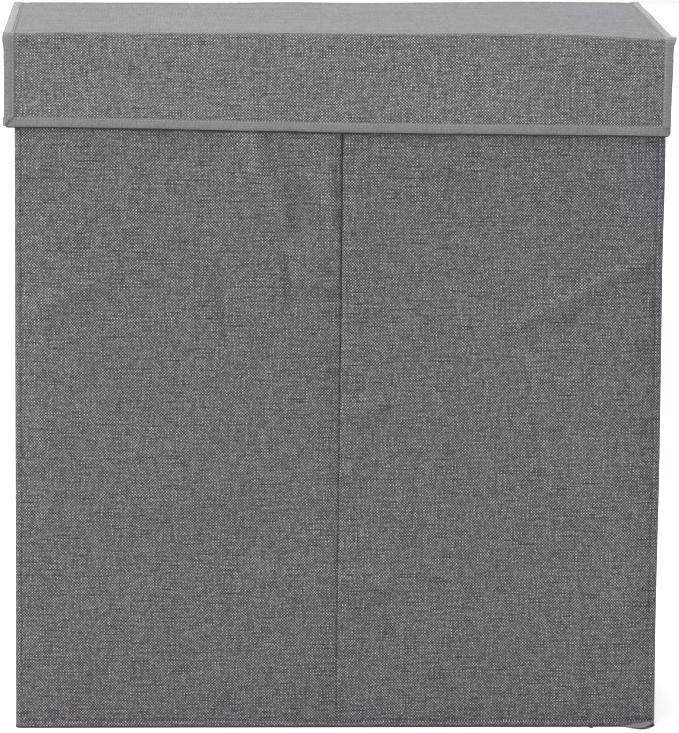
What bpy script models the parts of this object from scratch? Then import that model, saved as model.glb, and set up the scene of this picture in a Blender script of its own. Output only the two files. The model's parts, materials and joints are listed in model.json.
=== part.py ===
"""Folding double laundry hamper with a hinged flap lid, in metres, +Z up, front towards -Y.

The hamper is fabric over stiff boards. The back wall is the fixed part. Each side wall is two halves that fold
inwards at a vertical crease, so the front wall travels back and the hamper goes flat. Two covered base boards
lift up against the back wall. The lid is a shallow box without a back side, sewn to the top of the back wall.
"""

import math

import bmesh
import bpy
from mathutils import Vector

# Overall sizes
TOTAL_HEIGHT = 0.610
BODY_WIDTH = 0.559
BODY_DEPTH = 0.330

# Layers of a wall, from the outside in, and the gap between pieces that touch
GAP = 0.0003
SKIN = 0.0012
BOARD = 0.0030
LINING = 0.0008
WALL = SKIN + BOARD + LINING + 2 * GAP

# Layers of the lid
LID_SKIN = 0.0008
LID_BOARD = 0.0018
LID_LINING = 0.0005
LID_WALL = LID_SKIN + LID_BOARD + LID_LINING + 2 * GAP
LID_CLEARANCE = 0.0030
LID_OVERHANG = LID_CLEARANCE + LID_WALL
LID_DROP = 0.087
LID_EDGE_RADIUS = 0.003

# Binding tape that covers the raw edges
TAPE = 0.0008
TAPE_PROUD = GAP + TAPE
TAPE_MIDDLE = GAP + TAPE / 2
HEM_TAPE_WIDTH = 0.009
SEAM_TAPE_WIDTH = 0.008
RIM_TAPE_WIDTH = 0.009

# The lid's hinge line lies along the outer top edge of the back wall, behind the sewn-on hinge strip
HINGE_STRIP = 0.0008
HINGE_STRIP_DROP = 0.022
LID_AXIS_BEHIND_BODY = GAP + HINGE_STRIP + GAP
LID_AXIS_ABOVE_TOP = 0.0002

# Fold of the side walls
CORNER_SLACK = 0.0046
CREASE_OUTSIDE = 0.0015
BOARD_MARGIN = 0.004
CORNER_RADIUS = 0.004

# Base
TRAY = 0.0010
TRAY_TOP = 0.0057
BASE_BOARD = 0.0020
BASE_COVER = 0.0006
BASE_TAB = 0.0006
BASE_TAB_SIZE = (0.060, 0.028)
BASE_SIDE_CLEARANCE = 0.0015
BASE_AXIS_FROM_LINING = 0.0042

# Soft insides
DIVIDER = 0.0020
LINER = 0.0015
LINER_CLEARANCE = 0.0026
LINER_TOP = 0.590
HOOK_TAPE = 0.0010
HOOK_TAPE_WIDTH = 0.020
HOOK_TAPE_LENGTH = 0.180
HOOK_TAPE_DROP = 0.006
HANDLE_WIDTH = 0.025
HANDLE = 0.0014
HANDLE_SPAN = 0.120
HANDLE_DROP = 0.085

# Planes that follow from the sizes above. The whole hamper is centred on x = 0 and y = 0.
TOTAL_DEPTH = BODY_DEPTH + LID_OVERHANG + TAPE_PROUD + LID_AXIS_BEHIND_BODY
LID_AXIS_Y = TOTAL_DEPTH / 2
LID_AXIS_Z = TOTAL_HEIGHT + LID_AXIS_ABOVE_TOP
SIDE = BODY_WIDTH / 2
BACK = LID_AXIS_Y - LID_AXIS_BEHIND_BODY
FRONT = BACK - BODY_DEPTH
INNER_SIDE = SIDE - WALL
INNER_BACK = BACK - WALL
INNER_FRONT = FRONT + WALL

LID_SIDE = SIDE + LID_OVERHANG
LID_FRONT = FRONT - LID_OVERHANG
LID_TOP = TOTAL_HEIGHT - TAPE_PROUD
LID_UNDERSIDE = LID_TOP - LID_WALL
LID_REAR = LID_AXIS_Y - GAP
HEM_BOTTOM = TOTAL_HEIGHT - LID_DROP
SKIRT_BOTTOM = HEM_BOTTOM + TAPE_PROUD

RIM_TOP = LID_UNDERSIDE - 0.0005
RIM_TAPE_BOTTOM = RIM_TOP - TAPE / 2 - RIM_TAPE_WIDTH
WALL_TOP = RIM_TOP - TAPE_PROUD
WALL_BOTTOM = TRAY_TOP + GAP

REAR_AXIS_Y = INNER_BACK - CORNER_SLACK
FRONT_AXIS_Y = INNER_FRONT + CORNER_SLACK
CREASE_Y = (REAR_AXIS_Y + FRONT_AXIS_Y) / 2
CREASE_AXIS_X = SIDE + CREASE_OUTSIDE

BASE_AXIS_Y = INNER_BACK - BASE_AXIS_FROM_LINING
BASE_AXIS_Z = TRAY + GAP

SIDES = (("left", -1), ("right", 1))

PARTS = None
PALETTE = {}


def start_scene():
    """Clears the scene and makes the collection that holds the hamper."""
    global PARTS
    for obj in list(bpy.data.objects):
        bpy.data.objects.remove(obj)
    PARTS = bpy.data.collections.new("laundry_hamper")
    bpy.context.scene.collection.children.link(PARTS)


def make_material(name, colour, roughness):
    mat = bpy.data.materials.new(name)
    mat.use_nodes = True
    shader = mat.node_tree.nodes["Principled BSDF"]
    shader.inputs["Base Color"].default_value = (*colour, 1.0)
    shader.inputs["Roughness"].default_value = roughness
    shader.inputs["Metallic"].default_value = 0.0
    PALETTE[name] = mat


def make_palette():
    make_material("weave", (0.165, 0.155, 0.170), 0.95)
    make_material("tape", (0.270, 0.260, 0.285), 0.85)
    make_material("lining", (0.360, 0.355, 0.360), 0.90)
    make_material("cardboard", (0.420, 0.310, 0.200), 0.90)
    make_material("liner_cloth", (0.720, 0.700, 0.660), 0.90)
    make_material("webbing", (0.620, 0.600, 0.560), 0.85)
    make_material("hook_tape", (0.500, 0.490, 0.480), 0.90)


def joint_empty(name, location):
    """An empty on a joint's axis, which the moving pieces hang from."""
    empty = bpy.data.objects.new(name, None)
    empty.location = location
    PARTS.objects.link(empty)
    return empty


def add_object(name, mesh, material, axis=None):
    """Puts a mesh in the collection, with its material, hung from its joint's empty where it has one."""
    obj = bpy.data.objects.new(name, mesh)
    mesh.materials.append(PALETTE[material])
    PARTS.objects.link(obj)
    if axis is not None:
        obj.parent = axis
        obj.location = -axis.location
    return obj


def box_mesh(low, high):
    """A bmesh of a box, given by its lowest and its highest corner."""
    low, high = Vector(low), Vector(high)
    bm = bmesh.new()
    cube = bmesh.ops.create_cube(bm, size=1.0)["verts"]
    bmesh.ops.scale(bm, vec=high - low, verts=cube)
    bmesh.ops.translate(bm, vec=(low + high) / 2, verts=cube)
    bm.normal_update()
    return bm


def mesh_of(bm, name):
    mesh = bpy.data.meshes.new(name)
    bm.to_mesh(mesh)
    bm.free()
    return mesh


def box(name, low, high, material, axis=None):
    return add_object(name, mesh_of(box_mesh(low, high), name), material, axis)


def thicken(obj, thickness, offset):
    solid = obj.modifiers.new("thickness", "SOLIDIFY")
    solid.solidify_mode = "NON_MANIFOLD"
    solid.nonmanifold_thickness_mode = "CONSTRAINTS"
    solid.thickness = thickness
    solid.offset = offset
    return obj


def open_box(name, low, high, open_sides, thickness, material, axis=None):
    """A thin shell just inside a box. open_sides are the outward directions of the faces left out."""
    bm = box_mesh(low, high)
    left_out = [f for f in bm.faces if any(f.normal.dot(Vector(d)) > 0.9 for d in open_sides)]
    bmesh.ops.delete(bm, geom=left_out, context="FACES")
    return thicken(add_object(name, mesh_of(bm, name), material, axis), thickness, -1)


def swept_sheet(name, rows, thickness, material, axis=None):
    """A thin sheet swept through rows of points and thickened evenly about the swept surface."""
    bm = bmesh.new()
    line = [bm.verts.new(point) for point in rows[0]]
    edges = [bm.edges.new(pair) for pair in zip(line, line[1:])]
    for row in rows[1:]:
        made = bmesh.ops.extrude_edge_only(bm, edges=edges)["geom"]
        fresh = {item for item in made if isinstance(item, bmesh.types.BMVert)}
        line = [next(e.other_vert(v) for e in v.link_edges if e.other_vert(v) in fresh) for v in line]
        for vert, point in zip(line, row):
            vert.co = point
        edges = [bm.edges.get(pair) for pair in zip(line, line[1:])]
    bmesh.ops.recalc_face_normals(bm, faces=bm.faces)
    return thicken(add_object(name, mesh_of(bm, name), material, axis), thickness, 0)


def extruded_sheet(name, path, run, thickness, material, axis=None):
    """A sheet bent along path and straight along the vector run."""
    far = [Vector(point) + Vector(run) for point in path]
    return swept_sheet(name, [path, far], thickness, material, axis)


def rounded(start, corner, end, radius, steps=4):
    """The points of a path from start to end whose corner, a right angle, is an arc of the given radius."""
    start, corner, end = Vector(start), Vector(corner), Vector(end)
    to_start, to_end = (start - corner).normalized(), (end - corner).normalized()
    centre = corner + radius * (to_start + to_end)
    turns = [math.pi / 2 * k / steps for k in range(steps + 1)]
    arc = [centre - radius * (to_end * math.cos(t) + to_start * math.sin(t)) for t in turns]
    return [start, *arc, end]


def rim_tape(name, start, run, normal, axis=None):
    """Binding folded over a wall's top edge. start is on the wall's outer face, and normal points outwards."""
    start, normal = Vector(start), Vector(normal)
    outside = start + normal * TAPE_MIDDLE
    inside = start - normal * (WALL + TAPE_MIDDLE)
    top = Vector((0, 0, RIM_TOP - TAPE / 2))
    low = Vector((0, 0, RIM_TAPE_BOTTOM))
    path = [outside + low, outside + top, inside + top, inside + low]
    return extruded_sheet(name, path, run, TAPE, "tape", axis)


def long_wall(prefix, outer_y, inward, axis=None):
    """The front or back wall: two boards either side of the centre seam, a skin and a lining, and the rim tape."""
    layers = {"skin": (0, SKIN), "board": (SKIN + GAP, SKIN + GAP + BOARD), "lining": (WALL - LINING, WALL)}
    planes = {k: sorted((outer_y + inward * a, outer_y + inward * b)) for k, (a, b) in layers.items()}
    half = INNER_SIDE - GAP
    for layer, material in (("skin", "weave"), ("lining", "lining")):
        low = (-half, planes[layer][0], WALL_BOTTOM)
        high = (half, planes[layer][1], WALL_TOP)
        box(f"{prefix}_{layer}", low, high, material, axis)
    for side, sign in SIDES:
        near, far = sorted((sign * BOARD_MARGIN, sign * (INNER_SIDE - BOARD_MARGIN)))
        box(
            f"{prefix}_{side}_board",
            (near, planes["board"][0], WALL_BOTTOM + BOARD_MARGIN),
            (far, planes["board"][1], WALL_TOP - GAP),
            "cardboard",
            axis,
        )
    rim_tape(prefix + "_rim_tape", (-half, outer_y, 0), (2 * half, 0, 0), (0, -inward, 0), axis)


def body_corner(name, sign, outer_y, inward, axis=None):
    """The skin round a vertical corner, from the long wall's face to where the side wall starts."""
    middle = SKIN / 2
    face_y = outer_y + inward * middle
    side_x = sign * (SIDE - middle)
    start = (sign * INNER_SIDE, face_y, WALL_BOTTOM)
    corner = (side_x, face_y, WALL_BOTTOM)
    end = (side_x, outer_y + inward * (WALL + CORNER_SLACK - GAP), WALL_BOTTOM)
    path = rounded(start, corner, end, CORNER_RADIUS)
    extruded_sheet(name, path, (0, 0, WALL_TOP - WALL_BOTTOM), SKIN, "weave", axis)


def side_half(prefix, sign, y_start, y_end, axis):
    """Half of a side wall, between its corner and the crease."""
    low_y, high_y = sorted((y_start, y_end))
    low_y, high_y = low_y + GAP, high_y - GAP

    def layer(name, outside_in, inside_in, margin, bottom, top, material):
        low_x, high_x = sorted((sign * (SIDE - outside_in), sign * (SIDE - inside_in)))
        box(name, (low_x, low_y + margin, bottom), (high_x, high_y - margin, top), material, axis)

    layer(prefix + "_skin", 0, SKIN, 0, WALL_BOTTOM, WALL_TOP, "weave")
    layer(
        prefix + "_board",
        SKIN + GAP,
        SKIN + GAP + BOARD,
        BOARD_MARGIN,
        WALL_BOTTOM + BOARD_MARGIN,
        WALL_TOP - GAP,
        "cardboard",
    )
    layer(prefix + "_lining", WALL - LINING, WALL, 0, WALL_BOTTOM, WALL_TOP, "lining")
    rim_tape(prefix + "_rim_tape", (sign * SIDE, low_y, 0), (0, high_y - low_y, 0), (sign, 0, 0), axis)


def base_tray():
    """The sewn bottom, whose turned-up edge meets the walls."""
    low = (-SIDE, FRONT, 0)
    high = (SIDE, BACK, TRAY_TOP)
    open_box("base_skin", low, high, [(0, 0, 1)], TRAY, "weave")


def base_insert(side, sign):
    """A covered base board that lifts about its rear edge, with a pull tab at its front edge."""
    axis = joint_empty(side + "_base_hinge", (0, BASE_AXIS_Y, BASE_AXIS_Z))
    near = DIVIDER / 2 + BASE_SIDE_CLEARANCE
    far = INNER_SIDE - BASE_SIDE_CLEARANCE
    low_x, high_x = sorted((sign * near, sign * far))
    front_y = INNER_FRONT + BASE_SIDE_CLEARANCE
    cover_z = BASE_AXIS_Z + BASE_BOARD + GAP
    tab_z = cover_z + BASE_COVER + GAP
    tab_x = sign * (near + far) / 2
    tab_half, tab_length = BASE_TAB_SIZE[0] / 2, BASE_TAB_SIZE[1]
    box(
        side + "_base_board",
        (low_x, front_y, BASE_AXIS_Z),
        (high_x, BASE_AXIS_Y, BASE_AXIS_Z + BASE_BOARD),
        "cardboard",
        axis,
    )
    box(
        side + "_base_cover",
        (low_x, front_y, cover_z),
        (high_x, BASE_AXIS_Y, cover_z + BASE_COVER),
        "lining",
        axis,
    )
    box(
        side + "_base_tab",
        (tab_x - tab_half, front_y, tab_z),
        (tab_x + tab_half, front_y + tab_length, tab_z + BASE_TAB),
        "webbing",
        axis,
    )


def divider():
    """The cloth wall between the two compartments, sewn in at the centre seams."""
    low = (-DIVIDER / 2, INNER_FRONT + GAP, WALL_BOTTOM)
    high = (DIVIDER / 2, INNER_BACK - GAP, RIM_TAPE_BOTTOM - GAP)
    box("divider", low, high, "lining")


def liner_span(sign):
    """A liner's outer lowest and highest corner."""
    low_x, high_x = sorted((sign * (DIVIDER / 2 + LINER_CLEARANCE), sign * (INNER_SIDE - LINER_CLEARANCE)))
    low = Vector((low_x, INNER_FRONT + LINER_CLEARANCE, WALL_BOTTOM + GAP))
    high = Vector((high_x, INNER_BACK - LINER_CLEARANCE, LINER_TOP))
    return low, high


def handle_rows(centre_x, middle_y, top_z):
    """A flat strap that hangs in a U from the liner's top edge, as rows of its inner and outer edge points."""
    inner = HANDLE_SPAN / 2 - HANDLE_WIDTH
    outer = HANDLE_SPAN / 2
    turn_z = top_z - HANDLE_DROP + outer
    rows = [[(centre_x - inner, middle_y, top_z), (centre_x - outer, middle_y, top_z)]]
    for step in range(13):
        angle = math.pi * step / 12
        rows.append(
            [(centre_x - r * math.cos(angle), middle_y, turn_z - r * math.sin(angle)) for r in (inner, outer)]
        )
    rows.append([(centre_x + inner, middle_y, top_z), (centre_x + outer, middle_y, top_z)])
    return rows


def liner(side, sign):
    """A removable laundry bag with two carrying handles, and the tabs that hold it to the walls."""
    low, high = liner_span(sign)
    open_box(side + "_liner", low, high, [(0, 0, 1)], LINER, "liner_cloth")
    centre_x = (low.x + high.x) / 2
    inset = LINER + GAP + HANDLE / 2
    for end, y in (("front", low.y + inset), ("rear", high.y - inset)):
        rows = handle_rows(centre_x, y, high.z - GAP)
        swept_sheet(f"{side}_liner_{end}_handle", rows, HANDLE, "webbing")


def hook_tapes(prefix, plane_y, inward, axis=None):
    """Strips of hook tape sewn on a long wall's lining, one for each liner."""
    near, far = sorted((plane_y + inward * GAP, plane_y + inward * (GAP + HOOK_TAPE)))
    top = LINER_TOP - HOOK_TAPE_DROP
    for side, sign in SIDES:
        middle_x = sign * INNER_SIDE / 2
        low = (middle_x - HOOK_TAPE_LENGTH / 2, near, top - HOOK_TAPE_WIDTH)
        high = (middle_x + HOOK_TAPE_LENGTH / 2, far, top)
        box(f"{prefix}_{side}_hook_tape", low, high, "hook_tape", axis)


def lid_layers(axis):
    """The lid's outer cover, its four boards and its lining."""
    middle = LID_SKIN / 2
    cover_half = LID_SIDE - LID_SKIN - GAP
    rear = (-cover_half, LID_REAR, LID_TOP - middle)
    corner = (-cover_half, LID_FRONT + middle, LID_TOP - middle)
    hem = (-cover_half, LID_FRONT + middle, SKIRT_BOTTOM)
    path = rounded(rear, corner, hem, LID_EDGE_RADIUS)
    extruded_sheet("lid_cover", path, (2 * cover_half, 0, 0), LID_SKIN, "weave", axis)

    board_out = LID_SKIN + GAP
    board_in = board_out + LID_BOARD
    lining_out = board_in + GAP
    edge = LID_EDGE_RADIUS + middle
    rear_y = LID_REAR - TAPE_PROUD
    board_half = LID_SIDE - board_out - GAP
    box(
        "lid_top_board",
        (-board_half, LID_FRONT + edge, LID_TOP - board_in),
        (board_half, LID_REAR, LID_TOP - board_out),
        "cardboard",
        axis,
    )
    box(
        "lid_front_board",
        (-board_half, LID_FRONT + board_out, SKIRT_BOTTOM),
        (board_half, LID_FRONT + board_in, LID_TOP - edge),
        "cardboard",
        axis,
    )
    for side, sign in SIDES:
        low_x, high_x = sorted((sign * LID_SIDE, sign * (LID_SIDE - LID_SKIN)))
        box(
            f"lid_{side}_cover",
            (low_x, LID_FRONT, SKIRT_BOTTOM),
            (high_x, rear_y, LID_TOP),
            "weave",
            axis,
        )
        low_x, high_x = sorted((sign * (LID_SIDE - board_out), sign * (LID_SIDE - board_in)))
        box(
            f"lid_{side}_board",
            (low_x, LID_FRONT + lining_out, SKIRT_BOTTOM),
            (high_x, rear_y, LID_TOP - board_in - GAP),
            "cardboard",
            axis,
        )
    lining_side = LID_SIDE - lining_out
    low = (-lining_side, LID_FRONT + lining_out, SKIRT_BOTTOM)
    high = (lining_side, rear_y, LID_TOP - lining_out)
    open_box("lid_lining", low, high, [(0, 0, -1), (0, 1, 0)], LID_LINING, "lining", axis)


def lid_hem_tape(axis):
    """Binding folded over the skirt's free edge: down the rear of one side, round the hem and up the other side."""
    outside, inside = TAPE_MIDDLE, -(LID_WALL + TAPE_MIDDLE)
    near, far = TAPE / 2, HEM_TAPE_WIDTH
    profile = [(outside, far), (outside, near), (inside, near), (inside, far)]
    seam_clear = LID_TOP - SEAM_TAPE_WIDTH - GAP
    rows = []
    for sign in (-1, 1):
        rear_top = [(sign * (LID_SIDE + d), LID_REAR - e, seam_clear) for d, e in profile]
        rear_low = [(sign * (LID_SIDE + d), LID_REAR - e, HEM_BOTTOM + e) for d, e in profile]
        front = [(sign * (LID_SIDE + d), LID_FRONT - d, HEM_BOTTOM + e) for d, e in profile]
        corner_rows = [rear_top, rear_low, front]
        rows += corner_rows if sign < 0 else corner_rows[::-1]
    swept_sheet("lid_hem_tape", rows, TAPE, "tape", axis)


def lid_seam_tape(side, sign, axis):
    """Binding folded over the seam of a side panel: up the front corner, then along the top edge."""
    edge_x, leg_x = sign * (LID_SIDE + TAPE_MIDDLE), sign * (LID_SIDE - SEAM_TAPE_WIDTH)
    edge_y, leg_y = LID_FRONT - TAPE_MIDDLE, LID_FRONT + SEAM_TAPE_WIDTH
    edge_z, leg_z = LID_TOP + TAPE_MIDDLE, LID_TOP - SEAM_TAPE_WIDTH
    start_z = HEM_BOTTOM + HEM_TAPE_WIDTH + GAP
    rows = [
        [(leg_x, edge_y, start_z), (edge_x, edge_y, start_z), (edge_x, leg_y, start_z)],
        [(leg_x, edge_y, edge_z), (edge_x, edge_y, edge_z), (edge_x, leg_y, leg_z)],
        [(leg_x, LID_REAR, edge_z), (edge_x, LID_REAR, edge_z), (edge_x, LID_REAR, leg_z)],
    ]
    swept_sheet(f"lid_{side}_seam_tape", rows, TAPE, "tape", axis)


def lid():
    axis = joint_empty("lid_hinge", (0, LID_AXIS_Y, LID_AXIS_Z))
    lid_layers(axis)
    lid_hem_tape(axis)
    for side, sign in SIDES:
        lid_seam_tape(side, sign, axis)
    half = INNER_SIDE - GAP
    low = (-half, BACK + GAP, RIM_TOP - HINGE_STRIP_DROP)
    high = (half, BACK + GAP + HINGE_STRIP, RIM_TAPE_BOTTOM - GAP)
    box("lid_hinge_strip", low, high, "weave")


def walls():
    """The fixed back wall, the folding side walls and the travelling front wall."""
    long_wall("back", BACK, -1)
    hook_tapes("back", INNER_BACK, -1)
    front_axis = joint_empty("front_wall_hinge", (-INNER_SIDE, FRONT_AXIS_Y, 0))
    long_wall("front", FRONT, 1, front_axis)
    hook_tapes("front", INNER_FRONT, 1, front_axis)
    for side, sign in SIDES:
        body_corner(side + "_rear_corner", sign, BACK, -1)
        body_corner(side + "_front_corner", sign, FRONT, 1, front_axis)
        rear_axis = joint_empty(side + "_rear_hinge", (sign * INNER_SIDE, REAR_AXIS_Y, 0))
        crease_axis = joint_empty(side + "_crease", (sign * CREASE_AXIS_X, CREASE_Y, 0))
        side_half(side + "_rear", sign, REAR_AXIS_Y, CREASE_Y, rear_axis)
        side_half(side + "_front", sign, CREASE_Y, FRONT_AXIS_Y, crease_axis)


def insides():
    divider()
    for side, sign in SIDES:
        base_insert(side, sign)
        liner(side, sign)


start_scene()
make_palette()
walls()
base_tray()
insides()
lid()
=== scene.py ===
"""Looks of the folding double laundry hamper around its CAD frame. Metres, +Z up, front towards -Y."""

import json
import math
from collections import namedtuple

import bpy
from mathutils import Matrix, Vector, noise


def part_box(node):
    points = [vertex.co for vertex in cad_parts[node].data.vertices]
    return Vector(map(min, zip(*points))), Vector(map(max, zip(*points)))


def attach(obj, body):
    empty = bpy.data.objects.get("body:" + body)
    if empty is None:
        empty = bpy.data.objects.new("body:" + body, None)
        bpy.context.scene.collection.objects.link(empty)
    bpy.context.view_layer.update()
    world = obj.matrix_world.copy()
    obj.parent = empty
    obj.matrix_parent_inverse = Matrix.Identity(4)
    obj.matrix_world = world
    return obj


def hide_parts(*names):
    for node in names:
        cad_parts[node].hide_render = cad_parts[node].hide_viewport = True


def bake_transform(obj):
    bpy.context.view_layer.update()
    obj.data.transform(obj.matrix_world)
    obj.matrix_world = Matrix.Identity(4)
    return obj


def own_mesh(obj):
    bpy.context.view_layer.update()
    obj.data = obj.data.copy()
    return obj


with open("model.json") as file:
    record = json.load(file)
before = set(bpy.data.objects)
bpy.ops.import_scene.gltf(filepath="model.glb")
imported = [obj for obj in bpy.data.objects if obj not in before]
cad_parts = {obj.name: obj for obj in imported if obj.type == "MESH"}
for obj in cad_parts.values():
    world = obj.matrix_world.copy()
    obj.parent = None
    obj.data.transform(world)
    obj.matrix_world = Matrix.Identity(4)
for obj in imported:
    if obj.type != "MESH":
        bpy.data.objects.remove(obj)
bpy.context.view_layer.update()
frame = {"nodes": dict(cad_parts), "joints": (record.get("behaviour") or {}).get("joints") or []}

SIDES = (("left", -1), ("right", 1))


def low(node):
    """The lowest corner of a CAD node's box."""
    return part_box(node)[0]


def high(node):
    """The highest corner of a CAD node's box."""
    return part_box(node)[1]


# Planes of the CAD frame
FRONT, BACK = low("front_skin").y, high("back_skin").y
INNER_FRONT, INNER_BACK = high("front_lining").y, low("back_lining").y
SIDE, INNER_SIDE = high("right_rear_skin").x, low("right_rear_lining").x
PANEL_HALF = high("front_skin").x
WALL_TOP = high("front_skin").z
RIM_TOP, RIM_TAPE_BOTTOM = high("front_rim_tape").z, low("front_rim_tape").z
TRAY_TOP = high("base_skin").z
TURN_FRONT, TURN_BACK = low("left_front_skin").y, high("left_rear_skin").y
CREASE_Y = (high("left_front_skin").y + low("left_rear_skin").y) / 2
MIDDLE_Y, BODY_DEPTH = (FRONT + BACK) / 2, BACK - FRONT
TAPE_PROUD = high("right_rear_rim_tape").x - SIDE

LID_HALF = high("lid_right_cover").x
LID_FRONT, LID_REAR = low("lid_right_cover").y, high("lid_cover").y
LID_TOP = high("lid_cover").z
LID_INNER_HALF = high("lid_lining").x
LID_INNER_FRONT = low("lid_lining").y
LID_INNER_TOP = high("lid_lining").z
HEM = low("lid_hem_tape").z

# Cloth thicknesses and the fineness of the meshes
SKIN = 0.0009
LINING = 0.0006
TAPE = 0.0009
STEP = 0.004
COARSE_STEP = 0.008
CREASE_HALF = 0.004
CORNER_RADIUS = 0.0040
THREAD = 0.00035
THIN_CLOTH = 0.0006
UP, AHEAD = Vector((0, 0, 1)), Vector((0, -1, 0))


# ---------------------------------------------------------------- small helpers


def smooth(t):
    """0 below 0, 1 above 1, and an even curve between."""
    t = min(1.0, max(0.0, t))
    return t * t * (3 - 2 * t)


def bump(distance, half_width):
    """1 at distance 0, falling smoothly to 0 at half_width."""
    return smooth(1 - abs(distance) / half_width)


def spread(start, end, step):
    """Even values from start to end, about step apart."""
    count = max(1, math.ceil(abs(end - start) / step))
    return [start + (end - start) * k / count for k in range(count + 1)]


def ripple(x, y, seed, size):
    """Smooth noise from -1 to 1, whose features are about size across."""
    return noise.noise(Vector((x / size, y / size, 17.3 * seed)))


def running_lengths(points):
    """The way gone along a line at each of its points."""
    gone = [0.0]
    for a, b in zip(points, points[1:]):
        gone.append(gone[-1] + (b - a).length)
    return gone


def ordered(items, forward):
    """The items as they come or turned round, which also turns a grid's face round."""
    return list(items) if forward else list(items)[::-1]


def quarter_turn(steps, first=1, last=None):
    """Angles within a quarter of a turn that is divided into steps."""
    return [math.pi / 2 * k / steps for k in range(first, (steps if last is None else last) + 1)]


# ---------------------------------------------------------------- materials


class Paint:
    """A material under construction: a Principled BSDF and short ways to add nodes to it."""

    def __init__(self, name, roughness, sheen=0.0, sheen_roughness=0.5, specular=0.3):
        self.material = bpy.data.materials.new(name)
        self.material.use_nodes = True
        self.tree = self.material.node_tree
        self.shader = self.tree.nodes["Principled BSDF"]
        self.set("Roughness", roughness)
        self.set("Sheen Weight", sheen)
        self.set("Sheen Roughness", sheen_roughness)
        self.set("Specular IOR Level", specular)

    def set(self, socket, value):
        self.shader.inputs[socket].default_value = value

    def link(self, source, target):
        if isinstance(source, bpy.types.NodeSocket):
            self.tree.links.new(source, target)
        else:
            target.default_value = source

    def math(self, operation, *values):
        node = self.tree.nodes.new("ShaderNodeMath")
        node.operation = operation
        for value, socket in zip(values, node.inputs):
            self.link(value, socket)
        return node.outputs[0]

    def times(self, a, b):
        return self.math("MULTIPLY", a, b)

    def plus(self, a, b):
        return self.math("ADD", a, b)

    def minus(self, a, b):
        return self.math("SUBTRACT", a, b)

    def ribs(self, value, pitch):
        """A wave from -1 to 1 with the given pitch."""
        return self.math("SINE", self.times(value, 2 * math.pi / pitch))

    def vector(self, x, y, z=0.0):
        node = self.tree.nodes.new("ShaderNodeCombineXYZ")
        for value, socket in zip((x, y, z), node.inputs):
            self.link(value, socket)
        return node.outputs[0]

    def split(self, vector):
        node = self.tree.nodes.new("ShaderNodeSeparateXYZ")
        self.link(vector, node.inputs[0])
        return node.outputs

    def flat_place(self):
        """The cloth's own flat coordinates, in metres."""
        node = self.tree.nodes.new("ShaderNodeUVMap")
        node.uv_map = "Cloth"
        return self.split(node.outputs[0])

    def solid_place(self):
        node = self.tree.nodes.new("ShaderNodeTexCoord")
        return node.outputs["Object"]

    def noise(self, vector, scale, detail=2.0, roughness=0.5):
        node = self.tree.nodes.new("ShaderNodeTexNoise")
        self.link(vector, node.inputs["Vector"])
        node.inputs["Scale"].default_value = scale
        node.inputs["Detail"].default_value = detail
        node.inputs["Roughness"].default_value = roughness
        return node.outputs["Fac"]

    def tones(self, vector, scale, detail, darkest, lightest):
        """Noise as a factor between two tones."""
        return self.remap(self.noise(vector, scale, detail), 0.3, 0.7, darkest, lightest)

    def mix(self, factor, a, b, how="MIX"):
        node = self.tree.nodes.new("ShaderNodeMix")
        node.data_type = "RGBA"
        node.blend_type = how
        self.link(factor, node.inputs["Factor"])
        for value, socket in zip((a, b), (node.inputs[6], node.inputs[7])):
            self.link(value if isinstance(value, bpy.types.NodeSocket) else (*value, 1.0), socket)
        return node.outputs[2]

    def scale_colour(self, colour, factor):
        """The colour times a number."""
        node = self.tree.nodes.new("ShaderNodeVectorMath")
        node.operation = "SCALE"
        self.link(colour, node.inputs[0])
        self.link(factor, node.inputs["Scale"])
        return node.outputs[0]

    def remap(self, value, from_low, from_high, to_low, to_high):
        node = self.tree.nodes.new("ShaderNodeMapRange")
        self.link(value, node.inputs["Value"])
        limits = {"From Min": from_low, "From Max": from_high, "To Min": to_low, "To Max": to_high}
        for name, number in limits.items():
            node.inputs[name].default_value = number
        return node.outputs["Result"]

    def colour(self, source):
        self.link(source, self.shader.inputs["Base Color"])

    def relief(self, height, distance, strength=1.0):
        node = self.tree.nodes.new("ShaderNodeBump")
        node.inputs["Distance"].default_value = distance
        node.inputs["Strength"].default_value = strength
        self.link(height, node.inputs["Height"])
        self.tree.links.new(node.outputs["Normal"], self.shader.inputs["Normal"])


WEAVE_ACROSS, WEAVE_ALONG = 0.001225, 0.001252      # spacing of the outer cloth's threads
LIGHT_YARN, DARK_YARN = (0.2350, 0.2181, 0.2414), (0.0264, 0.0228, 0.0278)
# painted light: the one even tone of the lid's top, standing in for its lit brightness and for the sheen that
# washes out its weave at a low angle
PAINTED_TOP_TONE = 0.87
THREAD_STRIDE = 7.31        # keeps the noise of neighbouring threads apart


def plain_weave(paint, u, v, pitch_u, pitch_v, wander):
    """Over-and-under threads. Gives whether the warp is on top, the height, and the warp and weft numbers."""
    drift_u = paint.times(paint.noise(paint.vector(u, v), 110.0, 1.0), wander * 2)
    drift_v = paint.times(paint.noise(paint.vector(v, u, 3.0), 110.0, 1.0), wander * 2)
    across = paint.plus(paint.math("DIVIDE", u, pitch_u), drift_u)
    along = paint.plus(paint.math("DIVIDE", v, pitch_v), drift_v)
    warp, weft = paint.math("FLOOR", across), paint.math("FLOOR", along)
    warp_on_top = paint.math("PINGPONG", paint.plus(warp, weft), 1.0)
    round_warp, round_weft = [
        paint.math("COSINE", paint.times(paint.minus(paint.minus(place, thread), 0.5), 2.7))
        for place, thread in ((across, warp), (along, weft))
    ]
    over_warp = paint.times(round_warp, paint.math("MULTIPLY_ADD", round_weft, 0.5, 0.5))
    over_weft = paint.times(round_weft, paint.math("MULTIPLY_ADD", round_warp, 0.5, 0.5))
    over_warp = paint.times(over_warp, warp_on_top)
    over_weft = paint.times(over_weft, paint.minus(1.0, warp_on_top))
    return warp_on_top, paint.plus(over_warp, over_weft), warp, weft


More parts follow.
